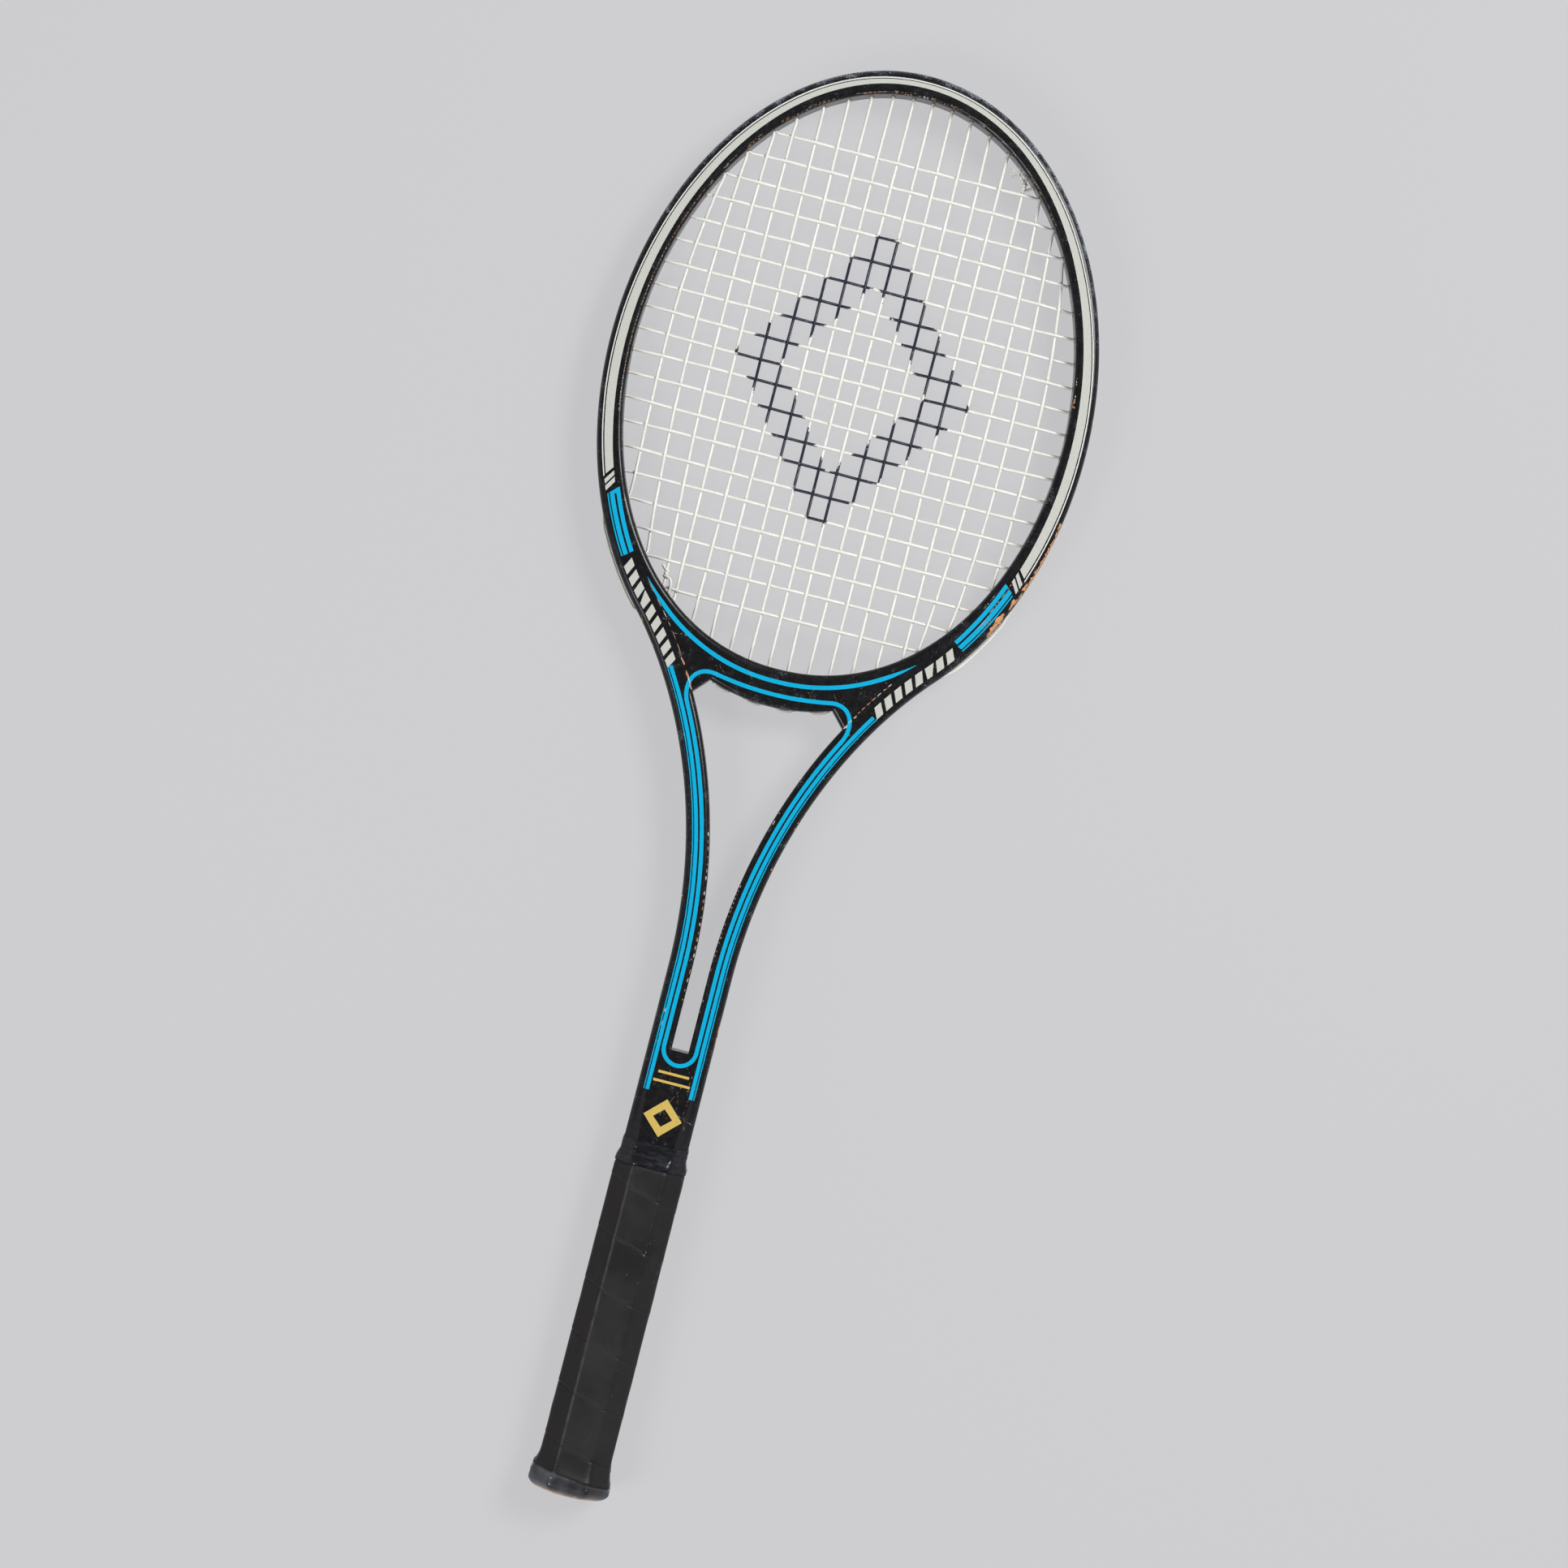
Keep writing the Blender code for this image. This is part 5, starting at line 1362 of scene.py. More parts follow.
def string_route(plan, weave):
    """Points of the whole string from its lower knot to its upper one, and the two holes of its ends."""
    xs, tops, bottoms, crosses = plan
    single = len(xs) - SHARED_MAINS
    lower_tie = tie_hole(crosses[-1], bottoms[single - 1])
    upper_tie = tie_hole(tops[single - 1], crosses[0])
    tied = main_run(single, -1.0, plan, weave)
    route = knot_turns(tied[1], tied[2], 1.0)[::-1]
    entry = rim_point(lower_tie, -1.0, LANE)
    route.append(np.array((entry[0], crosses[-1].entry[1], 0.0017)))
    route += [entry, outer_point(lower_tie, -1.0, LANE, -0.0010)]
    route += outside_loop(lower_tie, bottoms[-1], -1.0, LANE)
    step = 1
    for i, side in [(i, -1.0) for i in reversed(range(len(xs)))] + [(i, 1.0) for i in range(len(xs))]:
        route += main_run(i, side, plan, weave)[::step]
        step = -step
    route += outside_loop(bottoms[-1], crosses[-1], 1.0, 0.0)
    step = -1
    for k in reversed(range(len(crosses))):
        route += cross_run(k, plan, weave)[::step]
        step = -step
    route += [outer_point(upper_tie, 1.0, -LANE), rim_point(upper_tie, 1.0, -LANE)]
    tied = main_run(single - 1, 1.0, plan, weave)
    route += knot_turns(tied[-3], tied[-2], -1.0)
    return np.array(route), (lower_tie, upper_tie)


def eased(route, step, passes):
    """The route in even steps, its corners eased as a taut string's are."""
    lengths = np.concatenate(([0.0], np.cumsum(np.linalg.norm(np.diff(route, axis=0), axis=1))))
    places = np.linspace(0.0, lengths[-1], int(lengths[-1] / step))
    points = np.stack([np.interp(places, lengths, route[:, axis]) for axis in range(3)], 1)
    for _ in range(passes):
        points[1:-1] = points[:-2] * 0.25 + points[1:-1] * 0.5 + points[2:] * 0.25
    return points


# Geometry node trees

class Tree(Nodes):
    """Builder for a geometry node tree with named inputs and a material."""

    def __init__(self, name, inputs):
        super().__init__(bpy.data.node_groups.new(name, "GeometryNodeTree"))
        sockets = [("Geometry", "NodeSocketGeometry"), *inputs, ("Material", "NodeSocketMaterial")]
        for label, kind in sockets:
            self.tree.interface.new_socket(label, in_out="INPUT", socket_type=kind)
        self.tree.interface.new_socket("Geometry", in_out="OUTPUT", socket_type="NodeSocketGeometry")
        self.given = self.add("NodeGroupInput").outputs
        self.result = self.add("NodeGroupOutput").inputs

    def ring(self, radius, resolution):
        values = {"Radius": radius, "Resolution": resolution}
        return self.add("GeometryNodeCurvePrimitiveCircle", values).outputs["Curve"]

    def tube(self, path, profile, caps):
        values = {"Curve": path, "Profile Curve": profile, "Fill Caps": caps}
        return self.add("GeometryNodeCurveToMesh", values).outputs[0]

    def smooth(self, shape):
        return self.add("GeometryNodeSetShadeSmooth", {"Geometry": shape, "Shade Smooth": True}).outputs[0]

    def on_points(self, shape, scale=None):
        """A copy of the shape on every point, turned to face its way."""
        facing = self.add("GeometryNodeInputNamedAttribute", {"Name": "facing"}, data_type="FLOAT_VECTOR")
        turn = self.add("FunctionNodeAlignRotationToVector", {"Vector": facing.outputs[0]}, axis="Z")
        values = {"Points": self.given["Geometry"], "Instance": shape, "Rotation": turn.outputs[0],
                  "Scale": scale}
        return self.add("GeometryNodeInstanceOnPoints", values).outputs[0]

    def done(self, shape):
        realised = self.add("GeometryNodeRealizeInstances", {"Geometry": shape}).outputs[0]
        values = {"Geometry": realised, "Material": self.given["Material"]}
        self.feed(self.result[0], self.add("GeometryNodeSetMaterial", values).outputs[0])
        return self.tree


def grown_mesh(name, data, tree, values):
    """The plain mesh that a node tree makes from some data."""
    source = bpy.data.objects.new(name + "_source", data)
    bpy.context.scene.collection.objects.link(source)
    modifier = source.modifiers.new(name, "NODES")
    modifier.node_group = tree
    for item in tree.interface.items_tree:
        if item.item_type == "SOCKET" and item.in_out == "INPUT" and item.name in values:
            modifier[item.identifier] = values[item.name]
    graph = bpy.context.evaluated_depsgraph_get()
    mesh = bpy.data.meshes.new_from_object(source.evaluated_get(graph))
    mesh.name = name
    source.modifiers.remove(modifier)
    bpy.data.objects.remove(source)
    return mesh


def string_tree():
    """A round tube along the string's route."""
    tree = Tree("String Along Route", [("Radius", FLOAT_SOCKET), ("Sides", INTEGER_SOCKET)])
    ring = tree.ring(tree.given["Radius"], tree.given["Sides"])
    return tree.done(tree.smooth(tree.tube(tree.given["Geometry"], ring, True)))


def rim_tree():
    """A rounded rim on every point, square to the point's own direction."""
    tree = Tree("Hole Rims", [("Hole Radius", FLOAT_SOCKET), ("Lip", FLOAT_SOCKET)])
    rim = tree.tube(tree.ring(tree.given["Hole Radius"], 18), tree.ring(tree.given["Lip"], 6), False)
    return tree.done(tree.on_points(tree.smooth(rim)))


def mouth_tree():
    """A shallow dark disc on every point, painted shade for the mouth of a drilled hole."""
    tree = Tree("Hole Mouths", [("Hole Radius", FLOAT_SOCKET)])
    values = {"Vertices": 18, "Depth": 0.0001, "Radius": tree.given["Hole Radius"]}
    disc = tree.add("GeometryNodeMeshCylinder", values, fill_type="TRIANGLE_FAN")
    return tree.done(tree.on_points(disc.outputs["Mesh"]))


def fibre_tree():
    """Loose fibres that splay from every point."""
    tree = Tree("Frayed Fibres", [("Length", FLOAT_SOCKET), ("Thickness", FLOAT_SOCKET),
                                  ("Seed", INTEGER_SOCKET)])
    values = {"Direction": (0.0, 0.0, 1.0), "Length": tree.given["Length"]}
    line = tree.add("GeometryNodeCurvePrimitiveLine", values, mode="DIRECTION")
    fibre = tree.tube(line.outputs["Curve"], tree.ring(tree.given["Thickness"], 4), True)
    values = {"Seed": tree.given["Seed"], 0: (1.0, 1.0, 0.6), 1: (1.0, 1.0, 1.3)}
    size = tree.add("FunctionNodeRandomValue", values, data_type="FLOAT_VECTOR")
    return tree.done(tree.on_points(fibre, size.outputs[0]))


def facing_points(name, spots):
    """Loose points, each with the direction it faces."""
    mesh = bpy.data.meshes.new(name)
    mesh.from_pydata(in_row([spot for spot, _ in spots]).tolist(), [], [])
    facing = mesh.attributes.new("facing", "FLOAT_VECTOR", "POINT")
    facing.data.foreach_set("vector", np.array([way for _, way in spots], np.float32).ravel())
    return mesh


def hole_spots(plan, ties):
    """Mouths of all string holes: on the string side, in the groove and under the arch."""
    _, tops, bottoms, crosses = plan
    uses = []
    for side in (-1.0, 1.0):
        uses += [(hole, side, -LANE) for hole in crosses]
        for pair in zip(tops, bottoms):
            uses += [(hole, side, LANE) for hole in pair]
    uses += [(ties[0], -1.0, LANE), (ties[1], 1.0, -LANE)]
    return [(on_side(flat, side, z), on_side(way, side, 0.0)) for hole, side, z in uses
            for flat, way in hole.mouths()]


# Handle

LEATHER_LOW_Y = 0.0098
LEATHER_TOP_Y = 0.1605
LEATHER_PITCH = 0.0250
FIRST_SEAM_Y = 0.0145
LEATHER_LIFT = 0.0003
LEATHER_THICKNESS = 0.00125
LEATHER_RINGS = 400
LEATHER_DENTS = 46
TAPE_LOW_Y = 0.1590
TAPE_TOP_Y = 0.1706
TAPE_THICKNESS = 0.00045
TAPE_STEP = 0.00135
TAPE_RINGS = 90
TAPE_FOLDS = 12
# How much longer the leather makes the slanting facets of the octagon
FACET_GROWTH = 0.0013
# Where the creases between the facets lie, from the middle
CREASE_X = 0.0080
CREASE_Z = 0.0057
POINTS_PER_FACET = 9
POINTS_PER_CORNER = 5


def octagon_ring(y, grow, corner=0.0016, extra=FACET_GROWTH):
    """Ring round the handle, an octagon with rounded corners, and each point's outward way."""
    shrunk = grow - corner
    chamfer = HANDLE_CHAMFER + extra + shrunk * (2.0 - math.sqrt(2.0))
    half_x = NECK_HALF_WIDTH + shrunk
    half_z = HANDLE_HALF_DEPTH + shrunk
    corners = np.array([(half_x, -half_z + chamfer), (half_x, half_z - chamfer),
                        (half_x - chamfer, half_z), (-half_x + chamfer, half_z),
                        (-half_x, half_z - chamfer), (-half_x, -half_z + chamfer),
                        (-half_x + chamfer, -half_z), (half_x - chamfer, -half_z)])
    points, ways = [], []
    for i in range(8):
        angle = math.pi / 4 * i
        start, end = corners[i], corners[(i + 1) % 8]
        flat_way = np.array((math.cos(angle), math.sin(angle)))
        points += [start + (end - start) * j / POINTS_PER_FACET + flat_way * corner
                   for j in range(POINTS_PER_FACET)]
        ways += [flat_way] * POINTS_PER_FACET
        for j in range(POINTS_PER_CORNER):
            turn = angle + math.pi / 4 * j / POINTS_PER_CORNER
            ways.append(np.array((math.cos(turn), math.sin(turn))))
            points.append(end + ways[-1] * corner)
    points = np.array(points)
    return np.stack((points[:, 0], np.full(len(points), y), points[:, 1]), 1), np.array(ways)


def perimeter_shares(grow):
    """Share of the way round the handle at which each point of a ring lies."""
    ring, _ = octagon_ring(0.0, grow)
    lengths = np.linalg.norm(np.diff(np.concatenate((ring, ring[:1])), axis=0), axis=1)
    return np.concatenate(([0.0], np.cumsum(lengths)[:-1])) / lengths.sum()


def moved_ring(ring, ways, grow, along):
    """The ring grown along its outward ways and shifted along the handle."""
    return ring + np.stack((ways[:, 0] * grow, along, ways[:, 1] * grow), 1)


def smooth_noise(rng, count, strength):
    """A few waves with random phases, for hand-made unevenness."""
    waves = [(rng.integers(1, 7), rng.uniform(0, 6.28), rng.uniform(0.3, 1.0)) for _ in range(count)]

    def value(share):
        total = sum(size * np.sin(2 * math.pi * times * share + phase) for times, phase, size in waves)
        return strength * total / count

    return value


def build_leather():
    """Leather strip wound round the octagon, with its seam, its dents and its turned edge."""
    rng = np.random.default_rng(3)
    share = perimeter_shares(0.0017)
    uneven = smooth_noise(rng, 6, 0.0012)
    dents = [(rng.uniform(0, 1), rng.uniform(0.02, 0.155), rng.uniform(0.02, 0.05),
              rng.uniform(0.002, 0.006), rng.uniform(-1, 1) * 0.00016) for _ in range(LEATHER_DENTS)]
    rings = []
    for y in np.linspace(LEATHER_LOW_Y, LEATHER_TOP_Y, LEATHER_RINGS):
        phase = (y - FIRST_SEAM_Y - share * LEATHER_PITCH + uneven(share)) / LEATHER_PITCH
        turn = phase - np.floor(phase)
        ridge = 0.00022 * np.exp(-turn / 0.05) - 0.00008 * np.exp(-(1.0 - turn) / 0.05)
        seam = 0.00034 * np.exp(-((np.minimum(turn, 1.0 - turn)) / 0.017) ** 2)
        swell = 0.0019 * np.clip((0.0205 - y) / 0.0100, 0.0, 1.0) ** 1.6
        lip = 0.0003 * math.exp(-((y - 0.0108) / 0.0010) ** 2)
        top = -0.0007 * max(0.0, min(1.0, (y - 0.1575) / 0.0025))
        grow = LEATHER_LIFT + LEATHER_THICKNESS + ridge - seam + swell + lip + top
        for at, dent_y, wide, tall, size in dents:
            apart = np.minimum(np.abs(share - at), 1.0 - np.abs(share - at))
            grow = grow + size * np.exp(-(apart / wide) ** 2 - ((y - dent_y) / tall) ** 2)
        ring, ways = octagon_ring(y, 0.0)
        edge_wave = -0.0020 * ring[:, 0] / NECK_HALF_WIDTH * max(0.0, (0.0160 - y) / 0.0062)
        rings.append(moved_ring(ring, ways, grow, edge_wave))
    mesh = loft("leather_grip", rings, 50)
    here = np.abs(racket_points(mesh))
    corner = np.minimum(np.abs(here[:, 0] - CREASE_X), np.abs(here[:, 2] - CREASE_Z))
    paint_value(mesh, "corner_wear", np.clip(1.0 - corner / 0.0030, 0, 1))
    return mesh


def build_tape():
    """Collar of tape over the upper end of the leather, with small folds."""
    rng = np.random.default_rng(8)
    share = perimeter_shares(0.0017)
    edge_low, edge_high = smooth_noise(rng, 5, 0.0007), smooth_noise(rng, 5, 0.0004)
    folds = [(rng.uniform(0.1598, 0.1698), rng.uniform(-0.006, 0.006), rng.uniform(0, 6.28),
              rng.uniform(0.00025, 0.0006), rng.uniform(0.00004, 0.00013)) for _ in range(TAPE_FOLDS)]
    ys = np.linspace(TAPE_LOW_Y, TAPE_TOP_Y, TAPE_RINGS)
    rings = []
    for i, y in enumerate(ys):
        level = i / (len(ys) - 1)
        over_leather = ramp01(y, 0.1648, 0.1606)
        grow = TAPE_THICKNESS + TAPE_STEP * over_leather**0.8
        if level in (0.0, 1.0):
            grow = grow - 0.00040
        for at, tilt, phase, wide, size in folds:
            line = at + tilt * np.sin(2 * math.pi * share + phase) * 0.25
            fold = size * np.exp(-((y - line) / wide) ** 2)
            grow = grow + fold * (0.6 + 0.4 * np.sin(4 * math.pi * share + phase))
        ring, ways = octagon_ring(y, 0.0, extra=FACET_GROWTH * float(over_leather))
        shift = edge_low(share) * (1.0 - level) + edge_high(share) * level
        rings.append(moved_ring(ring, ways, grow, shift))
    return loft("collar_tape", rings, 50)


def build_butt():
    """Flared end of the handle, its rim rubbed to the wood."""
    rng = np.random.default_rng(21)
    creases = smooth_noise(rng, 6, 0.00018)
    levels = [(0.0162, 0.0009), (0.0145, 0.0016), (0.0125, 0.0023), (0.0110, 0.0029), (0.0098, 0.0033),
              (0.0086, 0.0037), (0.0075, 0.0040), (0.0065, 0.00415), (0.0056, 0.00415), (0.0048, 0.0040),
              (0.0040, 0.0035), (0.0032, 0.0028), (0.0024, 0.0017), (0.0016, 0.0002), (0.0010, -0.0018),
              (0.0005, -0.0042), (0.0002, -0.0060), (0.0, -0.0072)]
    fine = []
    for (y0, g0), (y1, g1) in zip(levels, levels[1:]):
        fine += [(y0 + (y1 - y0) * s, g0 + (g1 - g0) * s) for s in (0.0, 0.25, 0.5, 0.75)]
    fine.append(levels[-1])
    share = perimeter_shares(0.003)
    rings = []
    for y, grow in fine:
        ring, ways = octagon_ring(y, grow, 0.0024 if grow > 0 else 0.0014)
        dent = creases(share + y * 30.0) * float(ramp01(y, 0.0045, 0.0090)) - abs(creases(share)) * 0.2
        dent = dent + 0.00035 * math.exp(-((y - 0.0084) / 0.0005) ** 2)
        slant = -0.0018 * ring[:, 0] / NECK_HALF_WIDTH * float(ramp01(y, 0.0060, 0.0110))
        rings.append(moved_ring(ring, ways, dent, slant))
    mesh = loft("butt_flare", rings, 45)
    x, y, z = racket_points(mesh).T
    bare = ramp01(y, 0.0027, 0.0018) * (0.78 + 0.22 * np.sin(np.arctan2(z, x) * 3 + 0.8))
    paint_value(mesh, "rim_wear", np.clip(bare, 0, 1) * ramp01(y, 0.0004, 0.0010))
    return mesh


# Settings, operators and panel

LACQUERED_WOOD = "black_lacquered_wood"
FLOOR_REACH = 40.0
FLOOR_GLOW = 0.80
CAMERA_HEIGHT = 2.3
PICTURE_WIDTH = 0.7355
PICTURE_CENTRE = (0.0161, 0.3483 - LENGTH / 2)
PICTURE_TURN = math.radians(14.40)


class RacketLooks(bpy.types.PropertyGroup):
    lacquer_colour: bpy.props.FloatVectorProperty(
        name="Lacquer", description="Colour of the lacquered wood", subtype="COLOR",
        default=(0.0045, 0.0045, 0.0055))
    blue_colour: bpy.props.FloatVectorProperty(
        name="Blue Lines", description="Colour of the painted lines", subtype="COLOR",
        default=(0.0, 0.44, 0.74))
    silver_colour: bpy.props.FloatVectorProperty(
        name="Silver Band", description="Colour of the band round the head", subtype="COLOR",
        default=(0.60, 0.61, 0.56))
    gold_colour: bpy.props.FloatVectorProperty(
        name="Gold Marks", description="Colour of the marks above the grip", subtype="COLOR",
        default=(0.78, 0.56, 0.14))
    wood_colour: bpy.props.FloatVectorProperty(
        name="Bare Wood", description="Colour of the wood where the lacquer is gone", subtype="COLOR",
        default=(0.78, 0.37, 0.16))
    string_colour: bpy.props.FloatVectorProperty(
        name="String", description="Colour of the string", subtype="COLOR", default=(0.95, 0.93, 0.87))
    ink_colour: bpy.props.FloatVectorProperty(
        name="String Ink", description="Colour of the plain diamond inked on the strings", subtype="COLOR",
        default=(0.012, 0.016, 0.035))
    leather_colour: bpy.props.FloatVectorProperty(
        name="Leather", description="Colour of the grip", subtype="COLOR", default=(0.0100, 0.0098, 0.0105))
    floor_colour: bpy.props.FloatVectorProperty(
        name="Floor", description="Colour of the floor", subtype="COLOR", default=(0.618, 0.618, 0.632))
    string_diameter: bpy.props.FloatProperty(
        name="String Diameter", description="Thickness of the string", default=0.0014, min=0.0008,
        max=0.0016, unit="LENGTH", precision=5)
    ink_width: bpy.props.FloatProperty(
        name="Ink Width", description="Width of the inked diamond", default=0.115, unit="LENGTH")
    ink_length: bpy.props.FloatProperty(
        name="Ink Length", description="Length of the inked diamond", default=0.150, unit="LENGTH")
    ink_centre: bpy.props.FloatProperty(
        name="Ink Centre", description="Distance of the diamond's middle from the butt", default=0.540,
        unit="LENGTH")


class RACKET_OT_frame(bpy.types.Operator):
    """Dress the bow, the bridge and the handle's shoulder in lacquer"""
    bl_idname = "racket.frame"
    bl_label = "Lacquered Frame"

    def execute(self, context):
        place_piece("bow_lacquer", build_bow(), lacquer(), LACQUERED_WOOD,
                    "bow_outer_ply", "bow_second_ply", "bow_third_ply", "bow_inner_ply")
        place_piece("bridge_lacquer", build_bridge(), lacquer(), "lacquered_bridge_wood",
                    "bridge_core", "bridge_string_ply", "bridge_throat_ply")
        place_piece("shoulder_lacquer", build_shoulder(), lacquer(), LACQUERED_WOOD,
                    "heel_wedge", "handle_cheek_front", "handle_cheek_back")
        return {"FINISHED"}


class RACKET_OT_paint(bpy.types.Operator):
    """Paint the blue, silver, white and gold lines"""
    bl_idname = "racket.paint"
    bl_label = "Painted Lines"

    def execute(self, context):
        settings = looks()
        blue = paint("blue_paint", tuple(settings.blue_colour), 0.3)
        place_piece("paint_blue_lines", build_blue_lines(), blue, LACQUERED_WOOD)
        silver = paint("silver_paint", tuple(settings.silver_colour), 0.4, worn=0.08)
        place_piece("paint_silver_band", build_silver_band(), silver, LACQUERED_WOOD)
        white = paint("white_paint", (0.78, 0.78, 0.74), 0.4)
        place_piece("paint_pin_line", build_pin_line(), white, LACQUERED_WOOD)
        gold = paint("gold_paint", tuple(settings.gold_colour), 0.38, 0.3, 0.16)
        place_piece("paint_gold_marks", build_gold_marks(), gold, LACQUERED_WOOD)
        return {"FINISHED"}


class RACKET_OT_wear(bpy.types.Operator):
    """Chip and crack the lacquer down to the wood"""
    bl_idname = "racket.wear"
    bl_label = "Chips and Cracks"

    def execute(self, context):
        place_piece("bare_wood_chips", build_chips(), bare_wood(), LACQUERED_WOOD)
        place_piece("cracks_and_rubs", build_cracks(), rubbed_crack(), LACQUERED_WOOD)
        return {"FINISHED"}


class RACKET_OT_strings(bpy.types.Operator):
    """String the head: the woven bed, its loops, its knots and the holes it runs through"""
    bl_idname = "racket.strings"
    bl_label = "String Bed"

    def execute(self, context):
        plan = plan_holes()
        radius = looks().string_diameter / 2
        route, ties = string_route(plan, radius + WEAVE_GAP)
        points = in_row(eased(route, STRING_STEP, 3))
        curve = bpy.data.curves.new("string_route", "CURVE")
        curve.dimensions = "3D"
        spline = curve.splines.new("POLY")
        spline.points.add(len(points) - 1)
        spline.points.foreach_set("co", np.column_stack((points, np.ones(len(points)))).ravel())
        nylon = string_nylon()
        mesh = grown_mesh("string_bed", curve, string_tree(),
                          {"Radius": radius, "Sides": 8, "Material": nylon})
        place_piece("string_bed", mesh, nylon, "cream_string", "string")

        rng = np.random.default_rng(2)
        splay = [(route[-1] + rng.normal(0, 0.00018, 3), rng.normal((-0.9, 0.30, 0.25), 0.38))
                 for _ in range(FRAY_FIBRES)]
        fibres = grown_mesh("string_fray", facing_points("string_fray_points", splay), fibre_tree(),
                            {"Length": FIBRE_LENGTH, "Thickness": FIBRE_THICKNESS, "Seed": 4,
                             "Material": nylon})
        place_piece("string_fray", fibres, nylon, "cream_string")

        spots = hole_spots(plan, ties)
        rims = grown_mesh("string_hole_rims", facing_points("rim_points", spots), rim_tree(),
                          {"Hole Radius": HOLE_RIM_RADIUS, "Lip": HOLE_RIM_LIP, "Material": lacquer()})
        paint_value(rims, "edge_wear", np.full(len(rims.vertices), 0.5))
        place_piece("string_hole_rims", rims, lacquer(), LACQUERED_WOOD)
        # Painted shade: flat dark discs stand in for the hollows of the string holes
        dark = hole_shadow()
        mouths = grown_mesh("string_hole_shade_discs", facing_points("mouth_points", spots), mouth_tree(),
                            {"Hole Radius": HOLE_MOUTH_RADIUS, "Material": dark})
        place_piece("string_hole_shade_discs", mouths, dark, LACQUERED_WOOD)
        return {"FINISHED"}


class RACKET_OT_grip(bpy.types.Operator):
    """Wrap the handle: leather, collar tape and the flared butt"""
    bl_idname = "racket.grip"
    bl_label = "Grip and Butt"

    def execute(self, context):
        place_piece("leather_grip", build_leather(), grip_leather(), "grip_leather", "grip_wrap")
        place_piece("collar_tape", build_tape(), glossy_tape(), "black_tape", "grip_collar_tape")
        place_piece("butt_flare", build_butt(), butt_lacquer(), LACQUERED_WOOD, "butt_collar", "butt_cap")
        return {"FINISHED"}


def add_softbox(name, place, size, power):
    """A square soft light aimed at the middle of the floor."""
    light = bpy.data.lights.new(name, "AREA")
    light.shape = "SQUARE"
    light.size = size
    light.energy = power
    lamp = bpy.data.objects.new(name, light)
    bpy.context.scene.collection.objects.link(lamp)
    lamp.location = place
    lamp.rotation_euler = (-Vector(place)).to_track_quat("-Z", "Y").to_euler()


def studio_world():
    """Soft light from all round, stronger near the horizon than overhead."""
    world = bpy.data.worlds.new("studio")
    world.use_nodes = True
    world.node_tree.nodes.clear()
    shader = Shader(world.node_tree)
    shader.where = shader.add("ShaderNodeTexCoord").outputs["Generated"]
    level = shader.remap(shader.split()[2], 0.25, 0.97, 0.34, 0.13, kind="SMOOTHSTEP")
    soft = shader.add("ShaderNodeBackground", {"Color": (1.0, 1.0, 1.0, 1.0), "Strength": level})
    shader.add("ShaderNodeOutputWorld", {"Surface": soft.outputs[0]})
    return world


def floor_material():
    """Pale floor that keeps the racket's shadow."""
    shader = Finish("studio_floor")
    colour = tuple(looks().floor_colour)
    cloud = shader.remap(shader.noise(1.6, 2.0), 0.3, 0.7)
    material = shader.done(Base_Color=shader.mix(cloud, colour, shade(colour, 0.97)), Roughness=0.9,
                           Specular_IOR_Level=0.1)
    # Part of what the camera and reflections see is an even glow, so that the shadow stays pale
    path = shader.add("ShaderNodeLightPath").outputs
    mirrored_too = shader.math("MAXIMUM", path["Is Glossy Ray"], path["Is Transmission Ray"])
    seen = shader.math("MAXIMUM", path["Is Camera Ray"], mirrored_too)
    glow = shader.add("ShaderNodeEmission", {"Color": (*colour, 1.0)})
    plain = shader.tree.nodes["Principled BSDF"]
    choose = shader.add("ShaderNodeMixShader", {0: shader.times(seen, FLOOR_GLOW), 1: plain.outputs[0],
                                                2: glow.outputs[0]})
    shader.feed(shader.tree.nodes["Material Output"].inputs["Surface"], choose.outputs[0])
    return material


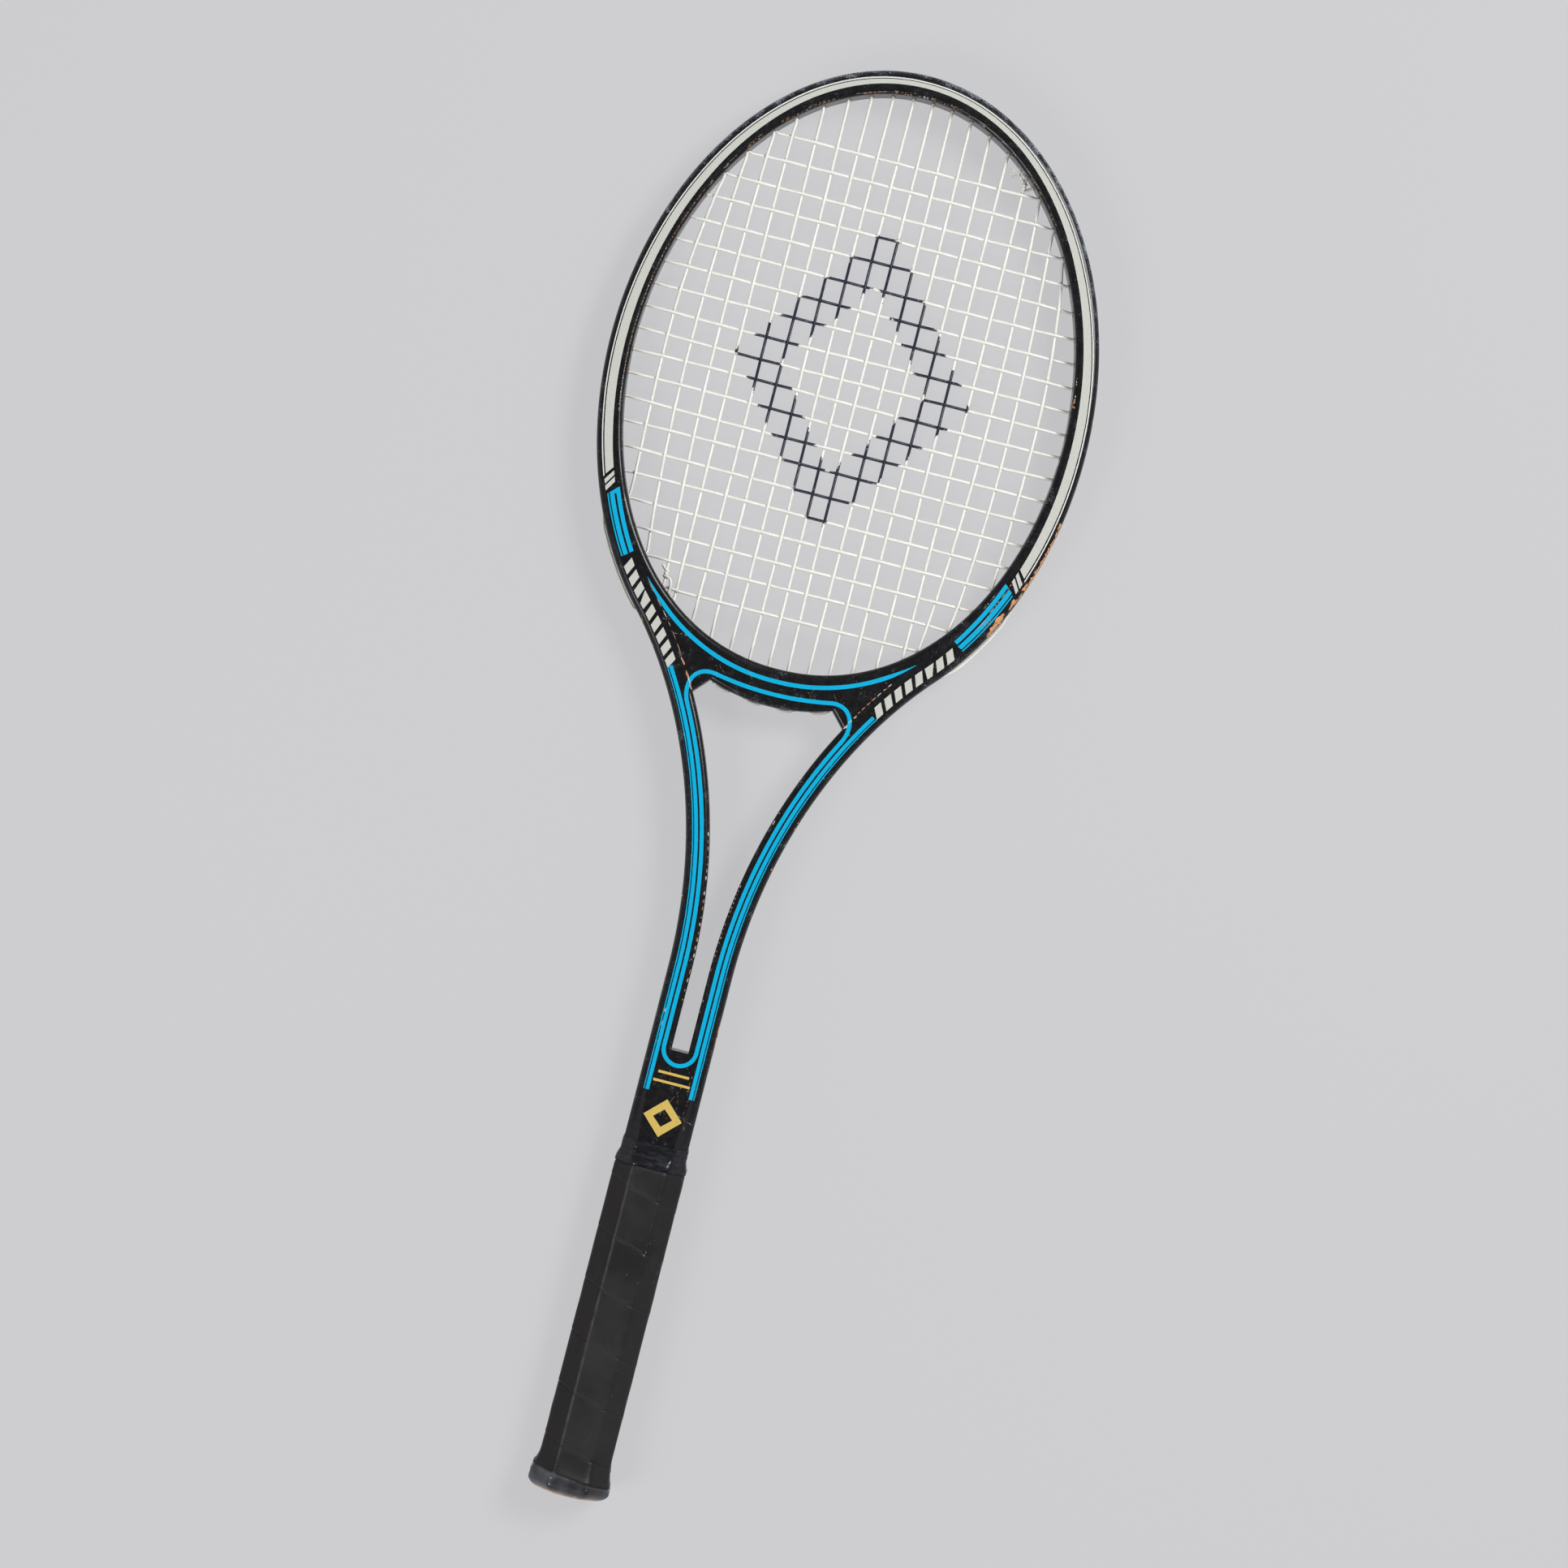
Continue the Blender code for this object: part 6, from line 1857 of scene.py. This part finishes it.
class RACKET_OT_stage(bpy.types.Operator):
    """Set the floor, the lights, the surroundings and the camera"""
    bl_idname = "racket.stage"
    bl_label = "Stage"

    def execute(self, context):
        scene = context.scene
        floor_mesh = bpy.data.meshes.new("floor")
        corners = [(x * FLOOR_REACH, y * FLOOR_REACH, 0.0) for x, y in ((-1, -1), (1, -1), (1, 1), (-1, 1))]
        floor_mesh.from_pydata(corners, [], [(0, 1, 2, 3)])
        floor_mesh.materials.append(floor_material())
        floor = bpy.data.objects.new("floor", floor_mesh)
        scene.collection.objects.link(floor)

        scene.world = studio_world()
        add_softbox("key_softbox", (1.15, 1.1, 2.1), 0.9, 50.0)
        add_softbox("fill_softbox", (-1.1, -1.3, 1.9), 1.0, 26.0)

        camera = bpy.data.cameras.new("camera")
        camera.sensor_width = 36.0
        camera.lens = camera.sensor_width * CAMERA_HEIGHT / PICTURE_WIDTH
        camera.clip_start = 0.05
        camera.clip_end = 200.0
        eye = bpy.data.objects.new("camera", camera)
        scene.collection.objects.link(eye)
        eye.location = (*PICTURE_CENTRE, BUTT_HALF_DEPTH + CAMERA_HEIGHT)
        eye.rotation_euler = (0.0, 0.0, PICTURE_TURN)
        scene.camera = eye
        scene.view_settings.view_transform = "Standard"
        return {"FINISHED"}


class RACKET_PT_looks(bpy.types.Panel):
    """Sizes, colours and steps of the racket's looks"""
    bl_idname = "RACKET_PT_looks"
    bl_label = "Racket Looks"
    bl_space_type = "VIEW_3D"
    bl_region_type = "UI"
    bl_category = "Racket"

    def draw(self, context):
        settings = context.scene.racket_looks
        for name in RacketLooks.__annotations__:
            self.layout.prop(settings, name)
        for step in STEPS:
            self.layout.operator(step.bl_idname)


STEPS = (RACKET_OT_frame, RACKET_OT_paint, RACKET_OT_wear, RACKET_OT_strings, RACKET_OT_grip,
         RACKET_OT_stage)
CLASSES = (RacketLooks, *STEPS, RACKET_PT_looks)
SURFACE = Surface()


def register():
    for cls in CLASSES:
        bpy.utils.register_class(cls)
    bpy.types.Scene.racket_looks = bpy.props.PointerProperty(type=RacketLooks)


def unregister():
    del bpy.types.Scene.racket_looks
    for cls in reversed(CLASSES):
        bpy.utils.unregister_class(cls)


def main():
    register()
    bpy.ops.racket.frame()
    bpy.ops.racket.paint()
    bpy.ops.racket.wear()
    bpy.ops.racket.strings()
    bpy.ops.racket.grip()
    bpy.ops.racket.stage()


if __name__ == "__main__":
    main()
